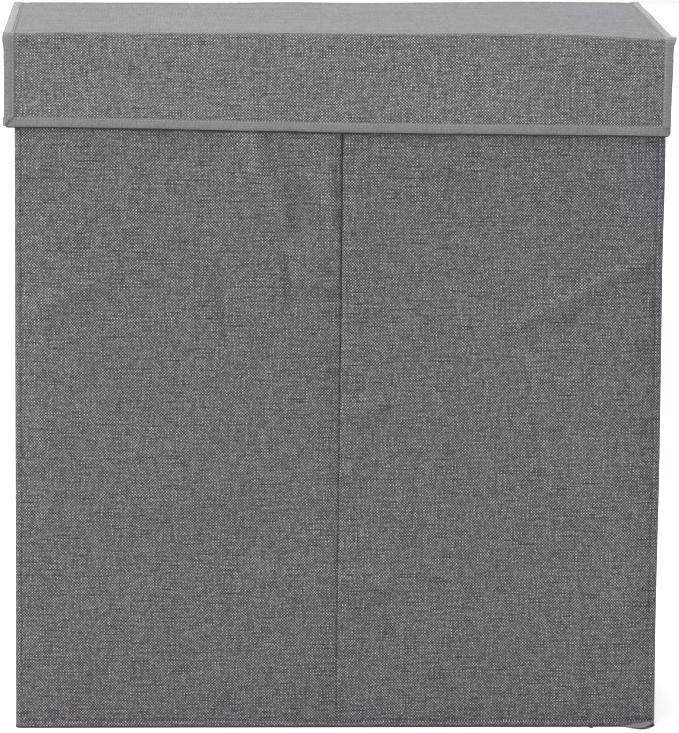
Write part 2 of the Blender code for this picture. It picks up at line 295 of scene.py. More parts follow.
def slubs(paint, thread, along, length, low_value, high_value):
    """Lighter and darker stretches along each thread."""
    place = paint.vector(paint.times(thread, THREAD_STRIDE), paint.math("DIVIDE", along, length))
    return paint.remap(paint.noise(place, 1.0, 2.0, 0.6), 0.25, 0.75, low_value, high_value)


def uneven_yarn(paint, thread, along, length, strength):
    """A factor near 1: how much one thread is lighter than its two neighbours."""
    tones = []
    for beside in (-1.0, 0.0, 1.0):
        number = paint.times(paint.plus(thread, beside), THREAD_STRIDE)
        place = paint.vector(number, paint.math("DIVIDE", along, length), 4.0)
        tones.append(paint.noise(place, 1.0, 2.0, 0.6))
    beside = paint.times(paint.plus(tones[0], tones[2]), 0.5)
    return paint.math("MULTIPLY_ADD", paint.minus(tones[1], beside), strength, 1.0)


def plain_mix(paint, share, value, even):
    """value where share is 0, and the number even where it is 1."""
    kept = paint.times(value, paint.minus(1.0, share))
    return paint.math("MULTIPLY_ADD", share, even, kept)


def crossing_tones(paint, warp, weft, darkest, lightest):
    """A tone of its own for every crossing of two threads."""
    crossing = paint.tree.nodes.new("ShaderNodeTexWhiteNoise")
    crossing.noise_dimensions = "2D"
    paint.link(paint.vector(warp, weft), crossing.inputs["Vector"])
    return paint.remap(crossing.outputs["Value"], 0.0, 1.0, darkest, lightest)


def weave_material(name, tone=(1.0, 1.0, 1.0), across=1.0, along=1.0, wander=0.55, smooth_above=None):
    """The outer cloth: a melange plain weave of light and dark yarns, with painted shade towards each yarn's
    sides and between the yarns.

    across and along scale the threads' spacing. Above the height smooth_above the crossings are evened out to
    one set tone with faint streaks along the rows: painted sheen and painted shade of the lid's lit top, seen
    at a low angle.
    """
    paint = Paint(name, 0.92, sheen=0.06, sheen_roughness=0.45, specular=0.08)
    u, v, _ = paint.flat_place()
    pitch_u, pitch_v = WEAVE_ACROSS * across, WEAVE_ALONG * along
    warp_on_top, height, warp, weft = plain_weave(paint, u, v, pitch_u, pitch_v, wander)
    light, dark = [[part * share for part, share in zip(yarn, tone)] for yarn in (LIGHT_YARN, DARK_YARN)]
    light = paint.scale_colour(light, slubs(paint, warp, v, 0.020, 0.72, 1.20))
    dark = paint.scale_colour(dark, slubs(paint, weft, u, 0.018, 0.16, 2.50))
    fibres = paint.tones(paint.vector(u, v), 1100.0, 1.0, 0.80, 1.20)
    fibres = paint.times(fibres, crossing_tones(paint, warp, weft, 0.63, 1.31))
    fibres = paint.times(fibres, uneven_yarn(paint, paint.plus(warp, 0.4), v, 0.020, 1.1))
    streaks = paint.math("MINIMUM", uneven_yarn(paint, weft, u, 0.026, 2.1), 1.17)
    if smooth_above is not None:        # seen at a low angle, the crossings there don't stand out
        # painted sheen: on the lid's top the crossings take one even tone
        painted_top_share = paint.remap(v, smooth_above - 0.003, smooth_above + 0.003, 0.0, 1.0)
        fibres = plain_mix(paint, painted_top_share, fibres, PAINTED_TOP_TONE)
        # painted shade: faint streaks along the top's rows, standing in for shading across it
        painted_row_shade = paint.noise(paint.vector(u, paint.times(v, 14.0), 6.0), 6.0, 3.0, 0.6)
        painted_row_shade = paint.remap(painted_row_shade, 0.3, 0.7, 0.90, 1.10)
        streaks = paint.times(streaks, plain_mix(paint, paint.minus(1.0, painted_top_share), painted_row_shade, 1.0))
        warp_on_top = plain_mix(paint, painted_top_share, warp_on_top, 0.5)
    threads = paint.mix(warp_on_top, dark, light)
    # painted shade: the colour darkens with the yarns' height, towards their sides and between them, where
    # the weave's relief is in shade
    depth = paint.remap(height, 0.0, 0.9, 0.0, 1.24)
    shaded = paint.scale_colour(threads, paint.times(paint.times(fibres, streaks), depth))
    blotch = paint.remap(paint.noise(paint.vector(u, v, 5.0), 30.0, 2.0), 0.35, 0.65, 0.0, 1.0)
    tint = paint.mix(blotch, (1.014, 0.996, 0.991), (0.986, 1.002, 1.011))
    patches = paint.tones(paint.vector(u, v, 9.0), 9.0, 3.0, 0.97, 1.03)
    paint.colour(paint.scale_colour(paint.mix(1.0, shaded, tint, "MULTIPLY"), patches))
    paint.relief(height, 0.00035, 0.8)
    return paint.material


def tape_material():
    """Binding tape: fine ribs across a grey ribbon, with uneven yarn, and painted shade in the ribs' hollows.
    """
    paint = Paint("tape", 0.80, sheen=0.08, specular=0.15)
    u, v, _ = paint.flat_place()
    height = paint.plus(paint.ribs(u, 0.0013), paint.times(paint.ribs(v, 0.0011), 0.6))
    coarse = paint.tones(paint.vector(u, v), 60.0, 3.0, 0.92, 1.08)
    yarn = paint.tones(paint.vector(u, paint.times(v, 3.0)), 620.0, 2.0, 0.62, 1.38)
    # painted shade: the colour follows the ribs' height, darker in their hollows and lighter on their crests
    base = paint.mix(paint.remap(height, -1.6, 1.6, 0.0, 1.0), (0.1145, 0.110, 0.120), (0.1885, 0.181, 0.197))
    paint.colour(paint.scale_colour(base, paint.times(coarse, yarn)))
    paint.relief(height, 0.00020, 0.6)
    return paint.material


def thread_material():
    """Sewing thread, twisted from two plies, with painted light and shade along the twist."""
    paint = Paint("thread", 0.6, sheen=0.2)
    u, v, _ = paint.flat_place()
    twist = paint.ribs(paint.plus(u, v), 0.0008)
    # painted light and shade: the colour follows the twist, lighter on the plies' crowns and darker in the
    # grooves between them
    paint.colour(paint.mix(paint.remap(twist, -1.0, 1.0, 0.0, 1.0), (0.21, 0.20, 0.22), (0.35, 0.34, 0.36)))
    return paint.material


def dark_thread_and_shadow_material():
    """The thread of the centre seam and of the topstitching, close to the cloth's dark yarn. Its near-black
    also serves as painted shadow: the cord under the lid's hem, the cord round the foot and the stitches on
    the lid's top seams.
    """
    paint = Paint("dark_thread_and_shadow", 0.7)
    u, v, _ = paint.flat_place()
    tone = paint.noise(paint.vector(u, v), 500.0, 2.0)
    # near-black, dark enough to serve as painted shadow as well as thread
    paint.colour(paint.mix(tone, (0.010, 0.009, 0.010), (0.036, 0.033, 0.036)))
    return paint.material


def lining_material():
    """Non-woven lining, pressed with rows of small dots."""
    paint = Paint("lining", 0.85, sheen=0.15)
    u, v, _ = paint.flat_place()
    pitch = 0.0021
    dots = paint.remap(paint.times(paint.ribs(u, pitch), paint.ribs(v, pitch)), 0.25, 0.75, 0.0, 1.0)
    fibres = paint.noise(paint.vector(u, v), 700.0, 3.0, 0.7)
    cloud = paint.tones(paint.vector(u, v, 2.0), 40.0, 3.0, 0.90, 1.10)
    base = paint.mix(fibres, (0.185, 0.182, 0.190), (0.300, 0.296, 0.306))
    paint.colour(paint.scale_colour(paint.mix(dots, base, (0.150, 0.147, 0.154)), cloud))
    paint.relief(paint.minus(fibres, dots), 0.00015, 0.6)
    return paint.material


def liner_material():
    """Thin off-white liner cloth with a fine plain weave."""
    paint = Paint("liner_cloth", 0.80, sheen=0.2)
    u, v, _ = paint.flat_place()
    warp_on_top, height, warp, weft = plain_weave(paint, u, v, 0.0006, 0.0006, 0.15)
    light = paint.scale_colour((0.66, 0.645, 0.61), slubs(paint, warp, v, 0.03, 0.94, 1.06))
    shade = paint.scale_colour((0.56, 0.545, 0.51), slubs(paint, weft, u, 0.03, 0.92, 1.08))
    cloud = paint.tones(paint.vector(u, v, 2.0), 12.0, 3.0, 0.95, 1.05)
    paint.colour(paint.scale_colour(paint.mix(warp_on_top, shade, light), cloud))
    paint.relief(height, 0.00012, 0.6)
    return paint.material


def webbing_material():
    """Woven strap with ribs across it, and painted shade in the ribs' hollows."""
    paint = Paint("webbing", 0.75, sheen=0.2)
    u, v, _ = paint.flat_place()
    rib = paint.math("ABSOLUTE", paint.ribs(v, 0.0032))
    tone = paint.tones(paint.vector(u, v), 90.0, 3.0, 0.92, 1.08)
    # painted shade: the colour follows the ribs, lighter on their crests and darker in their hollows
    paint.colour(paint.scale_colour(paint.mix(rib, (0.26, 0.245, 0.225), (0.44, 0.42, 0.385)), tone))
    paint.relief(paint.plus(rib, paint.times(paint.ribs(u, 0.0012), 0.25)), 0.0003, 0.7)
    return paint.material


def hook_material():
    """Hook tape, a field of tiny hooks, painted lighter on the hooks and darker between them."""
    paint = Paint("hook_tape", 0.6)
    u, v, _ = paint.flat_place()
    hooks = paint.remap(paint.times(paint.ribs(u, 0.0013), paint.ribs(v, 0.0010)), -0.2, 0.7, 0.0, 1.0)
    speckle = paint.tones(paint.vector(u, v), 1200.0, 2.0, 0.8, 1.2)
    # painted light and shade: the hooks are coloured lighter and the ground between them darker, following
    # the same field as their relief
    paint.colour(paint.scale_colour(paint.mix(hooks, (0.24, 0.23, 0.235), (0.50, 0.49, 0.49)), speckle))
    paint.relief(hooks, 0.0004, 0.8)
    return paint.material


def board_material():
    """Grey-brown board with short fibres and a few dark flecks."""
    paint = Paint("cardboard", 0.9)
    place = paint.solid_place()
    fibres = paint.noise(place, 420.0, 4.0, 0.7)
    flecks = paint.remap(paint.noise(place, 900.0, 2.0), 0.68, 0.75, 0.0, 1.0)
    cloud = paint.tones(place, 14.0, 3.0, 0.90, 1.08)
    base = paint.mix(fibres, (0.30, 0.225, 0.15), (0.46, 0.36, 0.255))
    paint.colour(paint.scale_colour(paint.mix(flecks, base, (0.14, 0.10, 0.07)), cloud))
    paint.relief(fibres, 0.0002, 0.5)
    return paint.material


def floor_material():
    """A pale matt floor, very slightly mottled."""
    paint = Paint("floor", 0.9, specular=0.05)
    mottle = paint.noise(paint.solid_place(), 0.6, 2.0)
    paint.colour(paint.mix(mottle, (0.955, 0.955, 0.955), (0.970, 0.970, 0.970)))
    return paint.material


LID_TONE = (1.166, 1.218, 1.203)

MATERIALS = {
    "weave": weave_material("weave"),
    "lid_weave": weave_material("lid_weave", LID_TONE, 1.023, 0.983, 0.40, LID_FRONT - LID_REAR),
    "tape": tape_material(),
    "thread": thread_material(),
    "dark_thread_and_shadow": dark_thread_and_shadow_material(),
    "lining": lining_material(),
    "liner_cloth": liner_material(),
    "webbing": webbing_material(),
    "hook_tape": hook_material(),
    "cardboard": board_material(),
}


# ---------------------------------------------------------------- making meshes

Patch = namedtuple("Patch", "across along place chart")


def new_object(name, points, faces, flat, material):
    """An object in the scene from its points, their flat coordinates and its faces."""
    mesh = bpy.data.meshes.new(name)
    mesh.from_pydata(points, [], faces)
    layer = mesh.uv_layers.new(name="Cloth")
    for loop in mesh.loops:
        layer.data[loop.index].uv = flat[loop.vertex_index]
    mesh.shade_smooth()
    mesh.materials.append(MATERIALS[material])
    obj = bpy.data.objects.new(name, mesh)
    bpy.context.scene.collection.objects.link(obj)
    return obj


def mesh_piece(name, patches, material, thickness=0.0):
    """An object of one or more grids. place(s, t) gives a grid's points, chart(s, t) its flat coordinates."""
    points, flat, quads = [], [], []
    for patch in patches:
        first, width = len(points), len(patch.across)
        for t in patch.along:
            for s in patch.across:
                points.append(patch.place(s, t))
                flat.append(patch.chart(s, t))
        for row in range(len(patch.along) - 1):
            for column in range(width - 1):
                corner = first + row * width + column
                quads.append((corner, corner + 1, corner + width + 1, corner + width))
    obj = new_object(name, points, quads, flat, material)
    if thickness:
        solid = obj.modifiers.new("thickness", "SOLIDIFY")
        solid.thickness = thickness
        solid.offset = -1
        solid.use_even_offset = False
    return obj


def stand_in(piece, node, body):
    """The piece takes a CAD node's place and rides on a body."""
    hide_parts(node)
    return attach(piece, body)


STITCH_SIDES = 5
# The rings of a stitch: their place along it and their relative width
STITCH_RINGS = ((-0.5, 0.35), (-0.25, 0.95), (0.25, 0.95), (0.5, 0.35))


def points_along(run, pitch):
    """Evenly spaced places on a run of (point, normal), as (length gone, point, normal, way ahead)."""
    lengths = running_lengths([point for point, _ in run])
    count = int(lengths[-1] / pitch)
    place = 0
    for k in range(count):
        middle = (k + 0.5) * lengths[-1] / count
        while place < len(run) - 2 and lengths[place + 1] < middle:
            place += 1
        (a, normal_a), (b, normal_b) = run[place], run[place + 1]
        share = (middle - lengths[place]) / max(1e-9, lengths[place + 1] - lengths[place])
        yield middle, a.lerp(b, share), normal_a.lerp(normal_b, share).normalized(), (b - a).normalized()


def stitch_mesh(name, runs, material="thread", length=0.0022, pitch=0.0032, width=THREAD):
    """Dashes of thread along runs of (point, normal), each a slim bead half sunk in the cloth."""
    points, faces, flat = [], [], []
    sides, last_ring = range(STITCH_SIDES), len(STITCH_RINGS) - 1
    for run in runs:
        for middle, centre, normal, ahead in points_along(run, pitch):
            beside = ahead.cross(normal).normalized()
            first = len(points)
            for along, size in STITCH_RINGS:
                for side in sides:
                    angle = 2 * math.pi * side / STITCH_SIDES
                    ring = beside * math.cos(angle) + normal * math.sin(angle)
                    points.append(centre + ahead * along * length + ring * width * size)
                    flat.append((middle + along * length, angle * width))
            for ring in range(last_ring):
                start = first + ring * STITCH_SIDES
                for side in sides:
                    a, b = start + side, start + (side + 1) % STITCH_SIDES
                    faces.append((a, b, b + STITCH_SIDES, a + STITCH_SIDES))
            faces.append(tuple(first + side for side in reversed(sides)))
            faces.append(tuple(first + last_ring * STITCH_SIDES + side for side in sides))
    return new_object(name, points, faces, flat, material)


# ---------------------------------------------------------------- body: stations round the walls

# A station is a place on the plan of the walls: the outer and the inner face, the outward direction,
# the distance round the body from the front's middle, and how freely the cloth moves there, 0 to 1.
Station = namedtuple("Station", "outer inner normal run ease")

SEAM_MARKS = (0.0, 0.0005, 0.0011, 0.0018, 0.0028, 0.0045, 0.0070)      # finer rows beside a centre seam
INNER_CORNER_AT = 0.1       # the share of a corner's way where its inner face turns


def straight_stations(starts, ends, normal, run, step, ease=(True, True), reach=0.020):
    """Stations along a flat stretch of wall. starts and ends are (outer, inner) plan points."""
    (outer_a, inner_a), (outer_b, inner_b) = [[Vector(p) for p in pair] for pair in (starts, ends)]
    length = (outer_b - outer_a).length
    places = spread(0.0, length, step)
    if not ease[0]:
        places = list(SEAM_MARKS) + spread(SEAM_MARKS[-1], length, step)[1:]
    if not ease[1]:
        places = spread(0.0, length - SEAM_MARKS[-1], step)[:-1]
        places += [length - mark for mark in SEAM_MARKS[::-1]]
    stations = []
    for d in places:
        share = d / length
        free = smooth(d / reach) if ease[0] else 1.0
        free *= smooth((length - d) / reach) if ease[1] else 1.0
        stations.append(Station(
            outer_a.lerp(outer_b, share), inner_a.lerp(inner_b, share), Vector(normal), run + d, free))
    return stations, run + length


def corner_stations(sign, end, run):
    """Stations round a vertical corner, from long wall to side wall. end is -1 in front and 1 behind."""
    face, inner_face = (FRONT, INNER_FRONT) if end < 0 else (BACK, INNER_BACK)
    turn = TURN_FRONT if end < 0 else TURN_BACK
    radius = CORNER_RADIUS
    centre = Vector((sign * (SIDE - radius), face - end * radius))
    outer = [(Vector((sign * PANEL_HALF, face)), Vector((0, end)))]
    for angle in quarter_turn(8, 0):
        way = Vector((sign * math.sin(angle), end * math.cos(angle)))
        outer.append((centre + radius * way, way))
    for y in spread(face - end * radius, turn, 0.0012)[1:]:
        outer.append((Vector((sign * SIDE, y)), Vector((sign, 0))))
    inner_corner = Vector((sign * INNER_SIDE, inner_face))
    inner_start, inner_end = Vector((sign * PANEL_HALF, inner_face)), Vector((sign * INNER_SIDE, turn))
    lengths = running_lengths([place for place, _ in outer])
    stations = []
    for (place, way), gone in zip(outer, lengths):
        share = gone / lengths[-1]
        if share < INNER_CORNER_AT:
            inner = inner_start.lerp(inner_corner, share / INNER_CORNER_AT)
        else:
            inner = inner_corner.lerp(inner_end, (share - INNER_CORNER_AT) / (1 - INNER_CORNER_AT))
        stations.append(Station(place, inner, way, run + gone, 0.0))
    return stations, run + lengths[-1]


def body_runs(sign):
    """All stations of one half of the body, from the front's middle round to the back's middle."""
    runs = {}
    front_start, front_end = [[(x, FRONT), (x, INNER_FRONT)] for x in (0, sign * PANEL_HALF)]
    back_start, back_end = [[(x, BACK), (x, INNER_BACK)] for x in (sign * PANEL_HALF, 0)]
    runs["front"], s = straight_stations(front_start, front_end, (0, -1), 0.0, STEP, (False, True))
    runs["front_corner"], s = corner_stations(sign, -1, s)
    crease_start, crease_end = CREASE_Y - CREASE_HALF, CREASE_Y + CREASE_HALF
    for part, start, end, step in (
        ("side_front", TURN_FRONT, crease_start, STEP),
        ("crease", crease_start, crease_end, 0.001),
        ("side_rear", crease_end, TURN_BACK, STEP),
    ):
        pair = [[(sign * SIDE, y), (sign * INNER_SIDE, y)] for y in (start, end)]
        runs[part], s = straight_stations(*pair, (sign, 0), s, step)
    runs["crease"] = [station._replace(ease=0.0) for station in runs["crease"]]
    corner, s = corner_stations(sign, 1, s)
    length = corner[-1].run - corner[0].run
    runs["rear_corner"] = [station._replace(run=2 * s - station.run - length) for station in corner[::-1]]
    runs["back"], s = straight_stations(back_start, back_end, (0, 1), s, STEP, (True, False))
    return runs


# ---------------------------------------------------------------- body: how the cloth lies

# Soft folds that the cloth has taken, on the front: start and end (x, z), height and half width.
FRONT_FOLDS = (
    ((-0.079, 0.520), (-0.046, 0.446), 0.0085, 0.0130),
    ((-0.013, 0.500), (-0.008, 0.440), 0.0040, 0.0080),
    ((-0.046, 0.508), (-0.014, 0.440), -0.0054, 0.0096),
    ((-0.048, 0.420), (-0.041, 0.368), -0.0040, 0.0072),
    ((-0.106, 0.398), (-0.094, 0.330), -0.0034, 0.0080),
    ((-0.048, 0.347), (-0.010, 0.328), 0.0049, 0.0080),
    ((-0.045, 0.398), (-0.010, 0.388), 0.0034, 0.0064),
    ((0.006, 0.424), (0.036, 0.424), 0.0032, 0.0064),
    ((0.006, 0.371), (0.040, 0.369), 0.0040, 0.0064),
    ((0.005, 0.285), (0.040, 0.284), 0.0070, 0.0112),
    ((0.005, 0.131), (0.050, 0.129), 0.0050, 0.0140),
    ((0.267, 0.413), (0.139, 0.349), 0.0040, 0.0090),
    ((0.277, 0.486), (0.190, 0.478), 0.0030, 0.0104),
    ((0.030, 0.507), (0.110, 0.490), 0.0034, 0.0128),
    ((-0.270, 0.366), (-0.208, 0.392), 0.0046, 0.0160),
    ((-0.276, 0.489), (-0.250, 0.489), 0.0037, 0.0080),
    ((-0.276, 0.428), (-0.252, 0.430), 0.0030, 0.0080),
    ((-0.276, 0.252), (-0.250, 0.252), 0.0034, 0.0072),
    ((-0.276, 0.186), (-0.238, 0.187), 0.0045, 0.0080),
    ((-0.276, 0.125), (-0.252, 0.125), 0.0037, 0.0072),
    ((-0.276, 0.076), (-0.252, 0.076), 0.0034, 0.0072),
)
FRONT_BOW = 0.0034
BOARD_GAP = 0.0040
PUCKER_PITCH = 0.019
PUCKER_REACH = 0.026
PUCKER_HEIGHT = 0.0028
PILLOW_HEIGHT = 0.0014
SEAM_DIP = 0.0024
SEAM_LEAN = 0.0026
CREASE_DIP = 0.0020
BROAD_WAVE, FINE_WAVE = 0.0007, 0.00025


def fold_height(x, z):
    """The folds' height at a point of the front."""
    here, total = Vector((x, z)), 0.0
    for start, end, height, half_width in FRONT_FOLDS:
        start, end = Vector(start), Vector(end)
        way = end - start
        share = (here - start).dot(way) / way.length_squared
        closest = start + way * min(1.0, max(0.0, share))
        fade = smooth(min(share + 0.15, 1.15 - share) / 0.30)
        total += height * bump((here - closest).length, half_width) * fade
    return total


def seam_height(distance, z, sign, seed):
    """The cloth beside a centre seam: it dips to the seam and puckers beside it."""
    tight = 0.30 + 0.70 * smooth((z - 0.15) / 0.35)
    valley = -SEAM_DIP * tight * bump(distance, 0.0019)
    pillow = PILLOW_HEIGHT * (0.5 + 0.5 * tight) * bump(distance - 0.013, 0.013)
    phase = z / PUCKER_PITCH + 0.8 * ripple(0.0, z, seed, 0.05)
    wave = math.sin(2 * math.pi * phase + (0.9 if sign > 0 else 0.0))
    strength = 0.5 + 0.5 * ripple(1.0, z, seed + 4, 0.06)
    pucker = PUCKER_HEIGHT * wave * strength * bump(distance - 0.008, PUCKER_REACH)
    return valley + pillow + pucker


def wall_wave(station, z, sign, part):
    """How far the outer cloth stands out from the wall's face."""
    s = station.run * sign
    broad = BROAD_WAVE * ripple(s, z * 0.55, 1, 0.110)
    fine = FINE_WAVE * ripple(s, z, 2, 0.034)
    ends = smooth((z - TRAY_TOP) / 0.03) * smooth((WALL_TOP - z) / 0.03)
    height = (broad + fine + 0.0004) * station.ease * ends
    if part in ("front", "back"):
        distance = abs(station.outer.x)
        height += seam_height(distance, z, sign, 3 if part == "front" else 8) * (0.35 + 0.65 * ends)
    if part == "front":
        sewn = smooth(distance / 0.004) * smooth((PANEL_HALF - distance) / 0.006)
        height += fold_height(station.outer.x, z) * ends * sewn
        height += FRONT_BOW * bump(z - 0.31, 0.31) * station.ease
        if distance > BOARD_GAP:            # the board behind holds the cloth out
            height = max(height, -0.0004)
    if part == "crease":
        height -= CREASE_DIP * bump(station.outer.y - CREASE_Y, CREASE_HALF)
    if part in ("side_front", "side_rear"):
        edge = abs(station.outer.y - CREASE_Y) - CREASE_HALF
        height += 0.0008 * bump(edge - 0.008, 0.008) * ends
    return height


def wall_point(station, z, out):
    """The point of the outer cloth at a station, out from the wall's face."""
    place = station.outer + station.normal * out
    return Vector((place.x + lean(place, z), place.y, z))


def lean(place, z):
    """Sideways drift of the front's cloth: the seam leans, and the right edge bulges under the lid."""
    if place.y > CREASE_Y:
        return 0.0
    seam = SEAM_LEAN * smooth(z / 0.5) * bump(place.x, PANEL_HALF) * smooth((CREASE_Y - place.y) / 0.05)
    low_part, under_lid = smooth((z - 0.06) / 0.20), smooth((0.535 - z) / 0.02)
    flare = 0.0017 * low_part + 0.0012 * smooth((z - 0.40) / 0.10)
    edge = smooth((place.x - 0.16) / (PANEL_HALF - 0.16)) * smooth((CREASE_Y - CREASE_HALF - place.y) / 0.13)
    return seam + flare * edge * under_lid


def run_chart(stations, sign, height=lambda z: z, offset=0.0):
    """Flat coordinates: the distance round the body, and a height."""
    return lambda i, z: (stations[i].run * sign + offset, height(z))


def skin_patch(stations, sign, part):
    """The outer cloth of a stretch of wall."""
    offset, lift = (0.0004, 0.0007) if sign < 0 else (0.0, 0.0)     # the halves meet between two threads

    def place(i, z):
        return wall_point(stations[i], z, wall_wave(stations[i], z, sign, part))

    chart = run_chart(stations, sign, lambda z: z + lift, offset)
    return Patch(ordered(range(len(stations)), sign > 0), spread(TRAY_TOP, WALL_TOP, STEP), place, chart)


def lining_patch(stations, sign):
    """The lining of a stretch of wall, a little slack."""
    def place(i, z):
        station = stations[i]
        sag = 0.0005 * (1 + ripple(station.run * sign, z, 6, 0.08)) * station.ease
        inward = station.inner - station.normal * sag
        return Vector((inward.x, inward.y, z))

    heights = spread(TRAY_TOP, WALL_TOP, COARSE_STEP)
    return Patch(ordered(range(len(stations)), sign < 0), heights, place, run_chart(stations, sign))


def rim_profile():
    """The binding's cross-section over the rim: (0 outer to 1 inner face, proud of it, height)."""
    top, low_edge, r, out = RIM_TOP, RIM_TAPE_BOTTOM, 0.0014, TAPE_PROUD
    face = [
        (out * 0.75, low_edge), (out, low_edge + 0.0008), (out, (low_edge + top) / 2),
        (out, top - r), (out - 0.3 * r, top - 0.3 * r), (out - r, top),
    ]
    return [(0, *point) for point in face] + [(0.5, 0.0, top)] + [(1, *point) for point in face[::-1]]


def binding_patch(stations, sign):
    """The tape folded over the rim of a stretch of wall."""
    profile = rim_profile()

    def place(i, k):
        station, (inside, proud, z) = stations[i], profile[k]
        proud *= -1 if inside == 1 else 1
        plan = station.outer.lerp(station.inner, inside) + station.normal * proud
        waver = 0.0003 * ripple(station.run * sign, z, 12, 0.03) if z < RIM_TOP - 0.002 else 0.0
        return Vector((plan.x, plan.y, z + waver))

    chart = run_chart(stations, sign, lambda k: k * 0.002)
    return Patch(ordered(range(len(stations)), sign > 0), list(range(len(profile))), place, chart)


def rim_stitches(stations):
    """Two runs of stitches near the binding's lower edges, outside and inside."""
    z = RIM_TAPE_BOTTOM + 0.0014
    runs = []
    for inside in (False, True):
        run = []
        for station in stations:
            way = -station.normal if inside else station.normal
            plan = (station.inner if inside else station.outer) + way * TAPE_PROUD
            run.append((Vector((plan.x, plan.y, z)), Vector((way.x, way.y, 0))))
        runs.append(run)
    return runs


RUNS = {sign: body_runs(sign) for _, sign in SIDES}
PIVOT_INSET = 0.0011
GUSSET_RADIUS = 0.0042


def wall_set(label, parts, nodes):
    """The outer cloth, the binding, its stitches and the lining of a stretch of wall.

    parts is a list of (sign, part). nodes gives the CAD nodes that they stand for, or None.
    """
    stations = [(sign, part, RUNS[sign][part]) for sign, part in parts]
    skins = [skin_patch(run, sign, part) for sign, part, run in stations]
    linings = [lining_patch(run, sign) for sign, part, run in stations]
    bindings = [binding_patch(run, sign) for sign, part, run in stations]
    stitches = [line for _, _, run in stations for line in rim_stitches(run)]
    made = {
        "skin": mesh_piece(label + "_cloth", skins, "weave", SKIN),
        "lining": mesh_piece(label + "_lining_cloth", linings, "lining", LINING),
        "binding": mesh_piece(label + "_rim_binding", bindings, "tape", TAPE),
        "stitches": stitch_mesh(label + "_rim_stitches", stitches),
    }
    for kind, node in nodes.items():
        if node:
            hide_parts(node)
    return list(made.values())


def wall_panels():
    """The cloth of the flat walls, each riding on its own body."""
    walls = []
    for end in ("front", "back"):
        walls.append((end, [(-1, end), (1, end)], [f"{end}_{side}_board" for side, _ in SIDES]))
    for side, sign in SIDES:
        for half in ("front", "rear"):
            walls.append((f"{side}_{half}", [(sign, "side_" + half)], [f"{side}_{half}_board"]))
    for label, parts, boards in walls:
        nodes = {"skin": label + "_skin", "lining": label + "_lining", "binding": label + "_rim_tape"}
        for piece in wall_set(label, parts, nodes):
            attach(piece, label + "_wall")


def wall_joints():
    """The cloth that turns a corner or crosses a crease. The right front corner, with its gusset, rides on
    the front wall; the rest stays where it is made.
    """
    for side, sign in SIDES:
        front_half, rear_half = f"{side}_front_wall", f"{side}_rear_wall"
        joints = (
            ("front_corner", "front_wall", front_half, INNER_FRONT + PIVOT_INSET, TURN_FRONT),
            ("rear_corner", "back_wall", rear_half, INNER_BACK - PIVOT_INSET, TURN_BACK),
            ("crease", rear_half, front_half, CREASE_Y + CREASE_HALF, CREASE_Y - CREASE_HALF),
        )
        for part, body_a, body_b, start_y, end_y in joints:
            label = f"{side}_{part}"
            node = label if "corner" in part else None
            halves = ("front", "rear") if part == "crease" else (part.split("_")[0],)
            unjoined = label == "right_front_corner"
            extra = [corner_gusset()] if unjoined else []
            for piece in wall_set(label, [(sign, part)], {"skin": node}):
                if unjoined:
                    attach(piece, body_a)
                else:
                    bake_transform(piece)


def corner_gusset():
    """The tuck of cloth inside the right front corner, which shows when the side wall folds in."""
    pivot = Vector((INNER_SIDE, TURN_FRONT - 0.0003))

    def place(angle, z):
        x, y = pivot.x + GUSSET_RADIUS * math.cos(angle), pivot.y + GUSSET_RADIUS * math.sin(angle)
        return Vector((x, y, z))

    heights = spread(TRAY_TOP, WALL_TOP, 0.02)
    patch = Patch(quarter_turn(8, 0), heights, place, lambda angle, z: (angle * GUSSET_RADIUS, z))
    piece = mesh_piece("right_front_corner_gusset", [patch], "weave", SKIN)
    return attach(piece, "front_wall")


def seam_thread():
    """The line of thread in the valley of the front and the back centre seam."""
    for end, way, station in (("front", -1, RUNS[1]["front"][0]), ("back", 1, RUNS[1]["back"][-1])):
        run = []
        for z in spread(TRAY_TOP + 0.002, WALL_TOP - 0.012, STEP):
            out = wall_wave(station, z, 1, end) + 0.0001
            run.append((wall_point(station, z, out), Vector((0, way, 0))))
        piece = stitch_mesh(end + "_seam_stitches", [run], "dark_thread_and_shadow", 0.0030, 0.0038)
        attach(piece, end + "_wall")


# ---------------------------------------------------------------- base

TURNED_UP_RADIUS = 0.0016
FOOT_REACH = 0.12           # how far the corners' way to the middle counts for the edge's inset
CORD_RADIUS = 0.0009
CORD_RING = [(math.cos(math.pi / 4 * k), math.sin(math.pi / 4 * k)) for k in range(9)]


def foot_outline():
    """Round the foot: the centre of each corner, and the outward ways of its turn."""
    outline = []
    for turn, (side, end) in enumerate(((1, 1), (-1, 1), (-1, -1), (1, -1))):
        centre = Vector((side * (SIDE - CORNER_RADIUS), MIDDLE_Y + end * (BODY_DEPTH / 2 - CORNER_RADIUS)))
        for k in range(7):
            angle = math.pi / 2 * (turn + k / 6)
            outline.append((centre, Vector((math.cos(angle), math.sin(angle)))))
    return outline + outline[:1]


